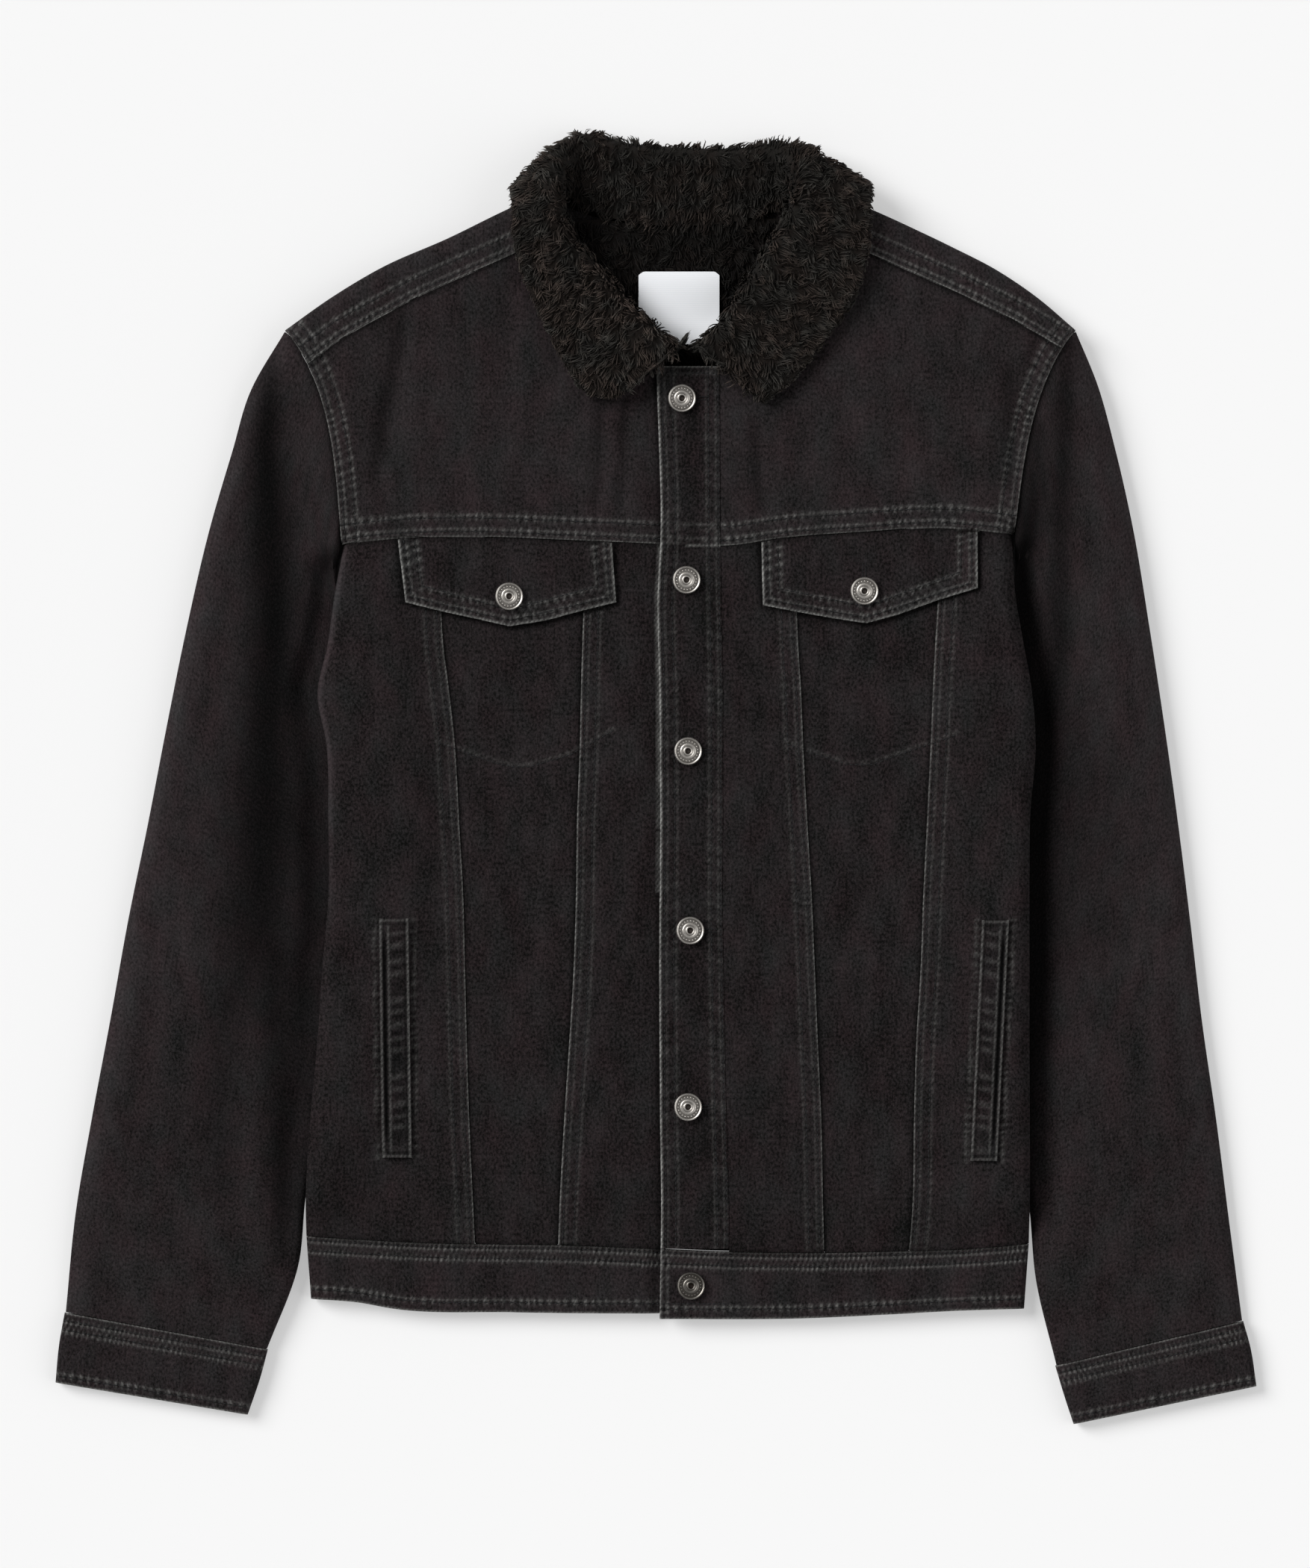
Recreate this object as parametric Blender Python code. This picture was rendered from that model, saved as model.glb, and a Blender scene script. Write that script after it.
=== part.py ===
"""Sherpa lined trucker jacket, buttoned and laid flat on its back with its arms down.

Frame: +Z up from the surface it lies on, +Y towards the collar, origin on the floor at the
middle of the jacket's box. Tables and sizes are in millimetres. Left and right are as seen
from above. Each piece is a wall of cloth: outer points, and inner points under them.
"""

import math

import bmesh
import bpy
import numpy as np

MM = 0.001
SEAM = 0.15  # half of the gap between two pieces at a seam
REST = 0.3  # gap under a piece that lies on another
SLIT = 1.5  # half of the space left between the front and the back of a flattened tube
BODY_WALL = 9.0  # denim and the pile behind it
SLEEVE_WALL = 6.0
BAND_WALL = 3.0  # waistband and cuffs, doubled denim
FOLD_RADIUS = 9.0
UNDER_ARM = 9.4  # thickness of a sleeve where the body lies on it
ARM_CLEARANCE = 1.2  # what the body keeps above it
TUCK_START = 22.0  # a sleeve gets thinner this far outside the body's side, and over this run
TUCK_RUN = 16.0
TUCK_TOP_RUN = 14.0  # run below the armpit, and the level of its end at the hem
TUCK_END = -300.0
TUCK_END_RUN = 30.0
COLLAR_WALL = 7.5
COLLAR_FALL = 9.0  # height that the collar's fall takes up under the back yoke
YOKE_DENIM = 3.0
FLAP_WALL = 2.0
LOOSE = 0.9  # more than REST under a flap or welt, whose panels bend under it
PLACKET_WALL = 2.4
PLACKET_RISE = 2.2  # the placket's top above the fronts
PLACKET_LAP = 1.0  # how much the right front rises towards the placket
LAP_RUN = 14.0  # distance over which the left front sinks
LAP_RISE_RUN = 30.0  # distance over which the right front rises
STAND_DROP = 1.7  # how far the left front sinks where the placket covers it
STAND_LEFT = 3.6  # the button stand's edges inside those of the placket
STAND_RIGHT = 1.6
PANEL_RISE = 0.8  # a lapped panel's top above the one it is sewn to
FRONT_TUCK = 3.0  # how far the left front runs on under the placket
SIDE_SEAM = 15.0  # distance of the side seam behind the side fold
WELT_WALL = 1.6
LABEL_LIFT = 0.6
LABEL_WALL = 0.8
SLEEVE_RADIUS = 7.0  # rounding of the folds of sleeve, cuff and waistband
CUFF_RADIUS = 4.5
BAND_RADIUS = 5.0
BAND_TOP = -287.0  # level of the waistband's seam, and its height
BAND_DEPTH = 36.0
BAND_TAPER = (1.8, 2.0)  # how much its two sides come in at the hem
BAND_LAP = 3.3  # how far its left end sinks under its right end
BAND_LAP_RISE = 0.8
BAND_INSET = 1.0  # what the band is thinner than the body above it
BAND_LAP_RUN = 16.0  # distance over which its right end rises over its left end
BUTTON_DIAMETER = 17.0
BUTTON_HEIGHT = 3.4
BUTTON_SIDES = 16
BUTTON_PROFILE = (  # shares of the radius and of the height, from the foot up
    (0, 0), (0.42, 0), (0.46, 0.35), (0.95, 0.4), (1.0, 0.62), (0.93, 0.92), (0.8, 0.8), (0.3, 1.0), (0, 0.9),
)

# Long lines of the body: x at each height y.
BODY_LINES = ("y", "fold_left", "seam_a", "seam_b", "edge", "stitch", "seam_c", "seam_d", "fold_right")
BODY = np.array([
    (240, -185.0, -133.0, -42.0, 0.6, 38.9, 83.0, 176.0, 212.0),
    (139, -191.1, -131.5, -43.2, 2.6, 39.4, 84.6, 173.4, 217.2),
    (110, -195.9, -130.8, -43.9, 0.9, 39.8, 85.6, 171.8, 218.6),
    (80, -200.1, -129.4, -44.9, 1.4, 40.4, 86.7, 170.0, 223.4),
    (51, -206.0, -125.8, -45.7, 2.2, 40.8, 88.5, 168.4, 228.6),
    (19, -200.6, -122.3, -46.4, 2.3, 40.7, 89.8, 167.1, 231.3),
    (-27, -199.5, -119.7, -48.1, 2.7, 40.8, 92.3, 164.9, 228.0),
    (-72, -199.3, -117.2, -48.7, 2.3, 40.6, 95.0, 162.7, 227.5),
    (-118, -202.9, -116.0, -50.2, 2.0, 41.2, 97.0, 161.0, 227.5),
    (-163, -206.0, -114.9, -52.9, 2.3, 42.0, 98.9, 158.3, 227.5),
    (-209, -210.1, -113.5, -55.9, 2.5, 43.0, 101.0, 157.0, 227.7),
    (-254, -213.0, -111.5, -58.4, 3.2, 44.3, 101.9, 156.4, 227.9),
    (-330, -212.0, -108.0, -61.0, 2.2, 44.3, 104.0, 150.0, 226.5),
])
# Seams that run across: y at each x.
YOKE_SEAM = np.array([
    (-191, 142.0), (-173, 144.0), (-153, 145.6), (-102, 146.3), (-54, 144.4), (3, 142.0),
    (30, 140.8), (48, 141.3), (73, 145.1), (127, 149.4), (176, 151.8), (200, 149.8), (218, 147.9),
])
WAIST_SEAM = np.array([
    (-213, -279.8), (-148, -283.5), (-41, -285.7), (2, -287.6), (50, -289.4), (102, -289.8),
    (149, -288.9), (188, -287.6), (228, -284.4),
])
HEM_LEFT = np.array([(-211, -318.0), (-181, -320.3), (-160, -324.0), (-87, -326.2), (45, -327.1)])
HEM_RIGHT = np.array([(2, -330.3), (90, -329.9), (141, -327.6), (184, -325.3), (226, -324.0)])
# Shoulders: the fold along the top and the seam in front of it.
SHOULDER_FOLD_LEFT = np.array([
    (-226, 272.5), (-199, 291.7), (-168, 310.3), (-127, 328.5), (-91, 345.8), (-63, 358.7),
])
SHOULDER_SEAM_LEFT = np.array([(-212, 252.1), (-190, 268.0), (-147, 291.7), (-87, 318.5), (-63, 330.0)])
SHOULDER_FOLD_RIGHT = np.array([
    (93, 362.0), (133, 345.3), (181, 323.1), (209, 308.5), (233, 292.1), (256, 272.5),
])
SHOULDER_SEAM_RIGHT = np.array([(93, 334.3), (131, 318.5), (182, 295.8), (218, 278.5), (246, 262.1)])
# The fronts' neckline from the neck point to the centre front: x, y.
NECKLINE_LEFT = np.array([(-63, 330.0), (-54, 316), (-44, 303), (-24, 280.5), (-7, 261), (3.4, 250.5)])
NECKLINE_RIGHT = np.array([(93, 334.3), (86, 324), (75, 309), (63, 291), (50, 270), (39.2, 250.5)])
BACK_NECK_DEPTH = 335.0  # y of the back neckline at its middle
NECK_MIDDLE = 19.0  # x of the neck's middle
# The collar's fall under the back yoke ends on this bow.
FALL_MIDDLE = 313.0
FALL_BOW = 0.0025
FALL_RUN = 34.0  # distance over which the back yoke comes down from it

# Thickness of the laid body at each y, hem to shoulder.
BODY_THICKNESS = np.array([
    (-335, 12.0), (-285, 13.5), (-245, 19.0), (-190, 21.5), (0, 22.5), (150, 22.0), (360, 21.0),
])

# Sleeves from armhole to cuff seam: the outer fold, and the inner fold that lies under the body.
# Columns, as in the cuffs' tables: part of the length, outer x, outer y, inner x, inner y, thickness.
SLEEVE_LEFT = np.array([
    (0.00, -226.1, 271.5, -191.6, 141.4, 21.0),
    (0.055, -246.0, 237.5, -193.2, 113.3, 20.0),
    (0.12, -258.1, 198.7, -182.5, 81.6, 18.0),
    (0.20, -272.1, 151.1, -173.5, 42.5, 16.5),
    (0.30, -286.0, 91.5, -168.5, -6.3, 16.0),
    (0.40, -298.1, 31.9, -171.1, -55.1, 15.5),
    (0.50, -309.6, -27.8, -177.0, -104.0, 15.0),
    (0.60, -321.8, -87.4, -186.0, -152.8, 14.5),
    (0.70, -332.5, -147.0, -197.4, -201.6, 14.0),
    (0.80, -343.7, -206.6, -212.5, -250.4, 13.5),
    (0.90, -353.9, -266.2, -218.4, -299.3, 12.5),
    (1.00, -359.9, -326.2, -237.1, -348.6, 10.5),
])
SLEEVE_RIGHT = np.array([
    (0.00, 255.9, 271.5, 218.4, 147.4, 21.0),
    (0.055, 269.1, 239.4, 217.2, 117.9, 20.0),
    (0.12, 280.0, 200.1, 204.4, 85.2, 18.0),
    (0.20, 290.9, 151.9, 197.0, 44.9, 16.5),
    (0.30, 301.0, 91.5, 196.6, -5.5, 16.0),
    (0.40, 310.2, 31.2, 198.8, -55.9, 15.5),
    (0.50, 318.6, -29.1, 202.9, -106.2, 15.0),
    (0.60, 326.1, -89.5, 208.4, -156.6, 14.5),
    (0.70, 333.2, -149.8, 215.7, -207.0, 14.0),
    (0.80, 341.9, -210.1, 227.0, -257.3, 13.5),
    (0.90, 349.6, -270.5, 232.0, -307.7, 12.5),
    (1.00, 357.6, -331.4, 244.3, -358.6, 10.5),
])
CUFF_LEFT = np.array([
    (0.0, -360.6, -326.5, -236.6, -349.0, 10.0),
    (0.5, -364.2, -347.5, -241.6, -367.5, 10.0),
    (1.0, -366.2, -369.2, -248.9, -388.8, 9.0),
])
CUFF_RIGHT = np.array([
    (0.0, 358.3, -331.7, 243.6, -359.0, 10.0),
    (0.5, 363.2, -350.0, 249.0, -377.0, 10.0),
    (1.0, 366.4, -371.4, 254.8, -394.6, 9.0),
])
ARMHOLE_BOW = {"left": 11.4, "right": -10.0}  # how far the armhole seam bows into the body
BOWED_PART = 0.3  # part of a sleeve's length over which that bow fades
# Parts of the length of a sleeve and of a cuff where there is a ring.
SLEEVE_PARTS = (0, 0.03, 0.07, 0.12, 0.18, 0.26, 0.34, 0.42, 0.5, 0.58, 0.66, 0.74, 0.82, 0.9, 0.96, 1.0)
CUFF_PARTS = (0, 0.33, 0.67, 1.0)
# Shares of a sleeve's width, outer fold to inner fold, where its ring has points.
RING = np.array([0, 0.025, 0.075, 0.148, 0.25, 0.37, 0.5, 0.63, 0.75, 0.86, 0.94, 0.98, 1.0])
# Shares of the length of the panels below the yokes, and the levels that they stand for.
ROWS = np.array([0, 0.025, 0.05, 0.08, 0.13, 0.2, 0.28, 0.36, 0.45, 0.54, 0.63, 0.72, 0.81, 0.9, 0.96, 1.0])
YOKE_LEVEL = 143.0
CENTRE_YOKE_Y = 142.0  # the yoke seam at the centre front
WAIST_LEVEL = -286.0
PLACKET_END = -287.3
NOMINAL_Y = YOKE_LEVEL + (WAIST_LEVEL - YOKE_LEVEL) * ROWS
# The part of the armhole seam that the back yoke takes up on the front.
SHOULDER_PART = {"left": 0.148, "right": 0.075}
# Shares across a front yoke from its armhole; the shoulder part of the back yoke has the same.
YOKE_COLUMNS = np.array([0, 0.06, 0.13, 0.25, 0.4, 0.55, 0.7, 0.84, 0.93, 1])

# Folds and creases of the top: a soft trough (depth under 0) or ridge between two points.
# Columns: x0, y0, x1, y1, depth, width.
FOLDS = np.array([
    (-152, 288, -174, 176, -2.4, 9.0),
    (-186, 280, -190, 190, 1.2, 8.0),
    (-95, 305, -93, 246, -1.4, 9.0),
    (216, 250, 215, 172, -2.2, 7.0),
    (233, 270, 228, 246, -1.6, 5.0),
    (252, 264, 247, 160, -3.0, 9.0),
    (236, 158, 262, 70, -2.2, 10.0),
    (-215, 120, -240, 60, -2.4, 10.0),
    (-232, 190, -262, 130, -1.6, 12.0),
    (-300, -20, -240, -48, -2.0, 11.0),
    (-312, -70, -250, -90, -1.8, 11.0),
    (-322, -230, -262, -262, -1.8, 10.0),
    (-330, -290, -270, -300, -1.6, 9.0),
    (315, -40, 262, -62, -2.0, 11.0),
    (320, -96, 258, -104, -1.8, 11.0),
    (332, -232, 276, -258, -1.8, 10.0),
    (340, -285, 280, -312, -1.6, 9.0),
    (-170, -60, -150, -250, -1.0, 16.0),
    (190, -50, 188, -250, -1.0, 16.0),
    (-84, 40, -90, -240, -1.0, 20.0),
    (128, 40, 126, -240, -1.0, 20.0),
])

# Collar: sections from one centre-front end round the neck to the other. Each is a path from the
# seam at the neckline up the stand, through the roll's arc (rise, roll, turn) and down the fall.
COLLAR_POINTS = ("seam", "rise", "roll", "turn", "fall", "edge")
COLLAR = (
    # seam x, y     rise x, y     roll x, y     turn x, y     fall x, y     edge x, y
    (9.0, 256.0, 11.0, 258.0, 14.5, 261.0, 9.0, 256.5, -8.0, 243.0, -26.0, 231.0),
    (-12.0, 274.6, -10.6, 276.2, -7.7, 278.4, -12.5, 274.5, -30.0, 259.0, -45.5, 237.5),
    (-33.0, 297.0, -31.8, 298.6, -30.0, 302.8, -36.0, 298.0, -52.0, 284.0, -63.0, 268.0),
    (-50.6, 319.0, -49.6, 321.0, -48.2, 323.8, -54.5, 320.5, -68.0, 308.0, -77.0, 298.0),
    (-58.2, 335.0, -57.6, 338.0, -57.0, 343.0, -65.0, 341.5, -77.0, 333.0, -87.5, 324.0),
    (-58.6, 345.5, -57.0, 350.5, -59.5, 357.5, -68.5, 357.5, -81.0, 352.5, -90.0, 345.0),
    (-56.5, 352.5, -55.5, 358.5, -61.0, 366.5, -70.0, 366.5, -82.0, 362.5, -90.0, 357.5),
    (-53.0, 354.0, -53.5, 363.5, -60.5, 377.0, -68.5, 373.0, -77.5, 365.0, -81.0, 341.0),
    (-43.0, 347.2, -43.0, 377.0, -43.0, 390.9, -46.0, 382.0, -49.0, 362.0, -52.0, 328.0),
    (-16.0, 338.2, -16.0, 377.0, -16.0, 385.0, -16.0, 378.0, -16.0, 352.0, -18.0, 317.5),
    (19.0, 336.0, 20.0, 375.0, 21.0, 382.2, 21.0, 375.5, 20.0, 348.0, 19.0, 313.5),
    (49.0, 338.8, 49.5, 375.0, 50.0, 382.2, 51.0, 376.0, 52.0, 352.0, 54.0, 317.0),
    (71.5, 346.5, 74.0, 373.5, 77.0, 385.2, 80.5, 377.5, 84.0, 360.0, 87.0, 328.0),
    (82.0, 354.0, 83.0, 364.0, 90.5, 379.0, 99.5, 375.0, 112.0, 367.5, 116.0, 342.0),
    (87.6, 353.5, 85.0, 359.5, 89.5, 369.5, 99.5, 370.0, 118.0, 366.0, 131.5, 359.5),
    (88.8, 348.5, 86.6, 352.5, 86.0, 360.0, 95.5, 360.5, 116.0, 355.5, 132.5, 347.0),
    (88.2, 338.0, 85.8, 340.5, 81.5, 344.0, 89.5, 343.5, 110.0, 334.0, 128.5, 322.0),
    (73.0, 310.6, 71.0, 313.0, 67.5, 319.0, 74.0, 315.0, 97.0, 303.0, 121.0, 293.0),
    (60.6, 292.6, 58.0, 294.5, 54.5, 298.5, 60.0, 294.0, 82.0, 276.0, 105.0, 270.0),
    (47.0, 271.9, 45.0, 273.7, 40.8, 277.5, 46.5, 273.0, 64.0, 257.5, 84.0, 243.5),
    (32.5, 255.5, 30.0, 257.5, 24.3, 261.5, 29.5, 257.0, 47.0, 243.5, 65.0, 228.5),
)
# Heights of the same sections at the middle of the wall, from an end to the middle of the back.
COLLAR_HEIGHT = (
    (19.0, 21.5, 27.0, 32.5, 30.5, 29.0),
    (18.0, 20.5, 26.5, 32.5, 29.5, 27.6),
    (18.0, 20.5, 26.5, 33.0, 29.5, 27.6),
    (19.0, 21.5, 28.5, 35.0, 31.0, 28.6),
    (20.5, 24.0, 32.0, 36.5, 32.5, 29.6),
    (19.5, 25.5, 36.5, 36.0, 31.0, 28.4),
    (17.6, 24.5, 34.5, 28.5, 20.0, 15.0),
    (15.2, 21.0, 27.0, 19.0, 7.2, 4.0),
    (13.4, 16.0, 10.5, 4.6, 3.85, 3.75),
    (13.4, 13.8, 9.0, 4.2, 3.75, 3.75),
    (13.4, 13.4, 8.8, 4.1, 3.75, 3.75),
)
COLLAR_HALF_WALL = COLLAR_WALL / 2

BUTTONS = {  # centre x, y
    "button_1": (15.9, 230.7),
    "button_2": (18.7, 120.1),
    "button_3": (19.6, 15.9),
    "button_4": (20.9, -93.3),
    "button_5": (19.6, -200.7),
    "button_waist": (21.4, -309.9),
    "button_flap_left": (-89.2, 110.1),
    "button_flap_right": (126.9, 113.3),
}
# Pocket flaps, at each knot across: top x, top y, bottom x, bottom y.
FLAP_LEFT = np.array([
    (-157.0, 145.0, -152.4, 106.5), (-136.5, 145.7, -132.4, 101.5), (-112.7, 145.8, -110.5, 96.7),
    (-90.0, 145.5, -89.2, 91.9), (-69.2, 144.5, -67.3, 95.3), (-46.9, 143.7, -44.6, 101.5),
    (-26.8, 142.8, -24.1, 106.5),
])
FLAP_RIGHT = np.array([
    (64.2, 143.2, 65.1, 104.7), (86.0, 145.6, 86.5, 100.6), (107.8, 147.4, 106.9, 96.9),
    (128.4, 148.9, 127.9, 93.7), (151.5, 150.6, 147.4, 99.0), (173.4, 152.2, 171.5, 107.8),
    (195.7, 153.1, 195.7, 115.1),
])
WELT = {  # top and bottom corners: x left, x right, y
    "left": ((-164.3, -151.1, -86.5), (-163.3, -149.2, -231.1)),
    "right": ((198.4, 212.5, -87.4), (191.6, 205.7, -233.0)),
}
LABEL = (-10.5, 38.7, 264.0, 308.0)  # left, right, bottom, top

DENIM = ("denim", (0.016, 0.015, 0.017, 1.0), 0.85, 0.0)
SHERPA = ("sherpa", (0.020, 0.018, 0.017, 1.0), 0.95, 0.0)
METAL = ("button metal", (0.42, 0.41, 0.39, 1.0), 0.35, 1.0)
LABEL_CLOTH = ("label cloth", (0.80, 0.79, 0.77, 1.0), 0.8, 0.0)


# ---------------------------------------------------------------- curves and levels


def smooth_curve(points, at):
    """Value at each place of a smooth curve through rows of (place, value), places rising."""
    place = points[:, 0]
    value = points[:, 1]
    slope = np.gradient(value, place)
    at = np.clip(np.asarray(at, float), place[0], place[-1])
    i = np.clip(np.searchsorted(place, at, side="right") - 1, 0, len(place) - 2)
    step = place[i + 1] - place[i]
    t = (at - place[i]) / step
    near = (1 + 2 * t) * (1 - t) ** 2 * value[i] + t * (1 - t) ** 2 * step * slope[i]
    far = t * t * (3 - 2 * t) * value[i + 1] + t * t * (t - 1) * step * slope[i + 1]
    return near + far


def body_line(name, y):
    """x of one of the body's long lines."""
    table = BODY[::-1][:, (0, BODY_LINES.index(name))]
    return smooth_curve(table, y)


def ease(t):
    """0 to 1 with soft ends."""
    t = np.clip(t, 0.0, 1.0)
    return t * t * (3 - 2 * t)


def rounding(d, radius=FOLD_RADIUS):
    """Height share of a rounded edge at distance d from it."""
    t = 1 - np.clip(d / radius, 0.0, 1.0)
    return np.sqrt(np.maximum(1 - t * t, 0.0))


def yoke_seam(x):
    return smooth_curve(YOKE_SEAM, x)


def back_seam(x):
    """y of the back yoke's seam: straight between the side seams."""
    ends = np.array([BODY[1, 1] + SIDE_SEAM, BODY[1, -1] - SIDE_SEAM])
    return np.where((x > ends[0]) & (x < ends[1]), np.interp(x, ends, yoke_seam(ends)), yoke_seam(x))


def waist_seam(x):
    return smooth_curve(WAIST_SEAM, x)


def sleeve_inner(side, y):
    """x of a sleeve's inner fold at height y."""
    table = SLEEVE_LEFT if side == "left" else SLEEVE_RIGHT
    return smooth_curve(table[::-1][:, (4, 3)], y)


def armpit_y(side):
    return (SLEEVE_LEFT if side == "left" else SLEEVE_RIGHT)[0, 4]


def arm_share(side, y):
    """1 where the body lies on a sleeve, 0 above the armpit and at the waistband."""
    return ease((armpit_y(side) - 4 - y) / 26) * ease((y + 281) / 24)


def side_lift(x, y):
    """Height to which the sleeves under it lift the body."""
    run = 40.0
    left = arm_share("left", y) * ease((sleeve_inner("left", y) + 8 + run - x) / run)
    right = arm_share("right", y) * ease((x - sleeve_inner("right", y) + 8 + run) / run)
    return (UNDER_ARM + ARM_CLEARANCE) * np.maximum(left, right)


def neck_lift(x, y):
    """Height to which the collar's fall lifts the back yoke."""
    bow = FALL_MIDDLE + FALL_BOW * (x - NECK_MIDDLE) ** 2
    return COLLAR_FALL * ease((y - (bow - 2) + FALL_RUN) / FALL_RUN)


def shoulder_distance(x, y):
    """Distance in front of the shoulder folds; far where there is none."""
    d = np.full(np.shape(x), 99.0)
    for fold, on_shoulder in (
        (SHOULDER_FOLD_LEFT, x <= SHOULDER_FOLD_LEFT[-1, 0] + 0.01),
        (SHOULDER_FOLD_RIGHT, x >= SHOULDER_FOLD_RIGHT[0, 0] - 0.01),
    ):
        d = np.where(on_shoulder, np.minimum(d, (smooth_curve(fold, x) - y) * 0.88), d)
    return np.maximum(d, 0.0)


def fold_line_distance(x, y):
    """Distance to the nearest of the shoulder folds, sleeve folds and side folds."""
    d = shoulder_distance(x, y)
    for side, sleeve, sign in (("left", SLEEVE_LEFT, 1), ("right", SLEEVE_RIGHT, -1)):
        sleeve_fold = (x - smooth_curve(sleeve[::-1][:, (2, 1)], y)) * sign
        d = np.minimum(d, sleeve_fold * 0.9)
        pit = armpit_y(side)
        edge = body_line("fold_" + side, np.minimum(y, pit)) - sign * np.maximum(y - pit, 0)
        d = np.minimum(d, (x - edge) * sign * np.where(y > pit, 0.7, 1.0))
    return np.maximum(d, 0.0)


def relief(x, y):
    """Creases of the top: the sum of the soft troughs and ridges in FOLDS."""
    total = np.zeros(np.shape(x))
    for x0, y0, x1, y1, depth, width in FOLDS:
        along_x = x1 - x0
        along_y = y1 - y0
        length = math.hypot(along_x, along_y)
        t = ((x - x0) * along_x + (y - y0) * along_y) / length**2
        across = ((x - x0) * along_y - (y - y0) * along_x) / length
        total = total + depth * np.exp(-((across / width) ** 2)) * ease(t * 4 + 0.5) * ease(4.5 - t * 4)
    return total


def body_levels(x, y):
    """Lowest, middle and highest level of the laid body, before its edges round off."""
    low = np.maximum(side_lift(x, y), neck_lift(x, y))
    high = smooth_curve(BODY_THICKNESS, y) + np.maximum(0.6 * side_lift(x, y), 0.25 * neck_lift(x, y))
    return low, (low + high) / 2, high


def body_top(x, y):
    """Height of the body's top, without what a panel adds."""
    low, middle, high = body_levels(x, y)
    return middle + (high - middle + relief(x, y)) * rounding(fold_line_distance(x, y))


def body_under(x, y):
    low, middle, high = body_levels(x, y)
    return middle + (low - middle) * rounding(fold_line_distance(x, y))


def front_rise(x, y):
    """What the lap at the centre front adds to a front panel's height."""
    edge = body_line("edge", y)
    stitch = body_line("stitch", y)
    left = -STAND_DROP * ease((x - edge + LAP_RUN) / LAP_RUN)
    right = PLACKET_LAP * ease((stitch + LAP_RISE_RUN - x) / LAP_RISE_RUN)
    return np.where(x < (edge + stitch) / 2, left, right)


# ---------------------------------------------------------------- making the solids


def make_object(name, vertices, faces, finish, soft_angle=50.0):
    """A closed mesh object from points in millimetres, its faces turned outwards."""
    label, colour, roughness, metallic = finish
    mesh = bpy.data.meshes.new(name)
    mesh.from_pydata([tuple(v * MM) for v in vertices], [], faces)
    shape = bmesh.new()
    shape.from_mesh(mesh)
    bmesh.ops.recalc_face_normals(shape, faces=shape.faces)
    shape.to_mesh(mesh)
    shape.free()
    mesh.shade_smooth()
    mesh.set_sharp_from_angle(angle=math.radians(soft_angle))
    material = bpy.data.materials.new(f"{label} {name}")
    material.use_nodes = True
    surface = material.node_tree.nodes["Principled BSDF"]
    surface.inputs["Base Color"].default_value = colour
    surface.inputs["Roughness"].default_value = roughness
    surface.inputs["Metallic"].default_value = metallic
    mesh.materials.append(material)
    thing = bpy.data.objects.new(name, mesh)
    bpy.context.scene.collection.objects.link(thing)
    return thing


def grid_faces(rows, columns, ring=False, start=0):
    """Quads of a grid of points stored row by row; ring closes each row on itself."""
    faces = []
    for r in range(rows - 1):
        for c in range(columns if ring else columns - 1):
            a = start + r * columns + c
            b = start + r * columns + (c + 1) % columns
            faces.append((a, b, b + columns, a + columns))
    return faces


def wall(name, outer, inner, faces, finish):
    """A cloth wall: the outer faces, the same on the inner points, and a rim at open edges."""
    count = len(outer)
    directed = set()
    for face in faces:
        for i, a in enumerate(face):
            directed.add((a, face[(i + 1) % len(face)]))
    all_faces = list(faces) + [tuple(i + count for i in reversed(face)) for face in faces]
    for a, b in directed:
        if (b, a) not in directed:
            all_faces.append((b, a, a + count, b + count))
    all_faces.sort()
    return make_object(name, np.vstack([outer, inner]), all_faces, finish)


def panel(name, x, y, rise=0.0):
    """A front panel over a grid of plan points, down to the slit inside the body."""
    outer_z = body_top(x, y) + front_rise(x, y) + rise
    inner_z = body_levels(x, y)[1] + SLIT
    outer = np.stack([x, y, outer_z], -1).reshape(-1, 3)
    inner = np.stack([x, y, inner_z], -1).reshape(-1, 3)
    return wall(name, outer, inner, grid_faces(*x.shape), DENIM)


def lower_rows(x):
    """y of each row at each x, from the yoke seam down to the waistband seam."""
    rows = ROWS.reshape(-1, *[1] * (np.ndim(x) - 1))
    top = yoke_seam(x) - SEAM
    return top + (waist_seam(x) + SEAM - top) * rows


def lower_plan(left_line, right_line, count, left_gap=SEAM, right_gap=SEAM):
    """Plan points between two long lines, from the yoke seam down to the waistband seam."""
    shares = np.linspace(0, 1, count + 1)
    left = body_line(left_line, NOMINAL_Y) + left_gap
    right = body_line(right_line, NOMINAL_Y) - right_gap
    x = left[:, None] + (right - left)[:, None] * shares[None, :]
    return x, lower_rows(x)


def lower_panels():
    """The panels below the yokes, apart from the side panels."""
    for name, left, right, count, gaps, rise in (
        ("front_mid_left", "seam_a", "seam_b", 4, (SEAM, SEAM), 0.0),
        ("front_inner_left", "seam_b", "edge", 4, (SEAM, -FRONT_TUCK), PANEL_RISE),
        ("front_inner_right", "stitch", "seam_c", 4, (SEAM, SEAM), PANEL_RISE),
        ("front_mid_right", "seam_c", "seam_d", 4, (SEAM, SEAM), 0.0),
    ):
        x, y = lower_plan(left, right, count, *gaps)
        panel(name, x, y, rise)


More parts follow.
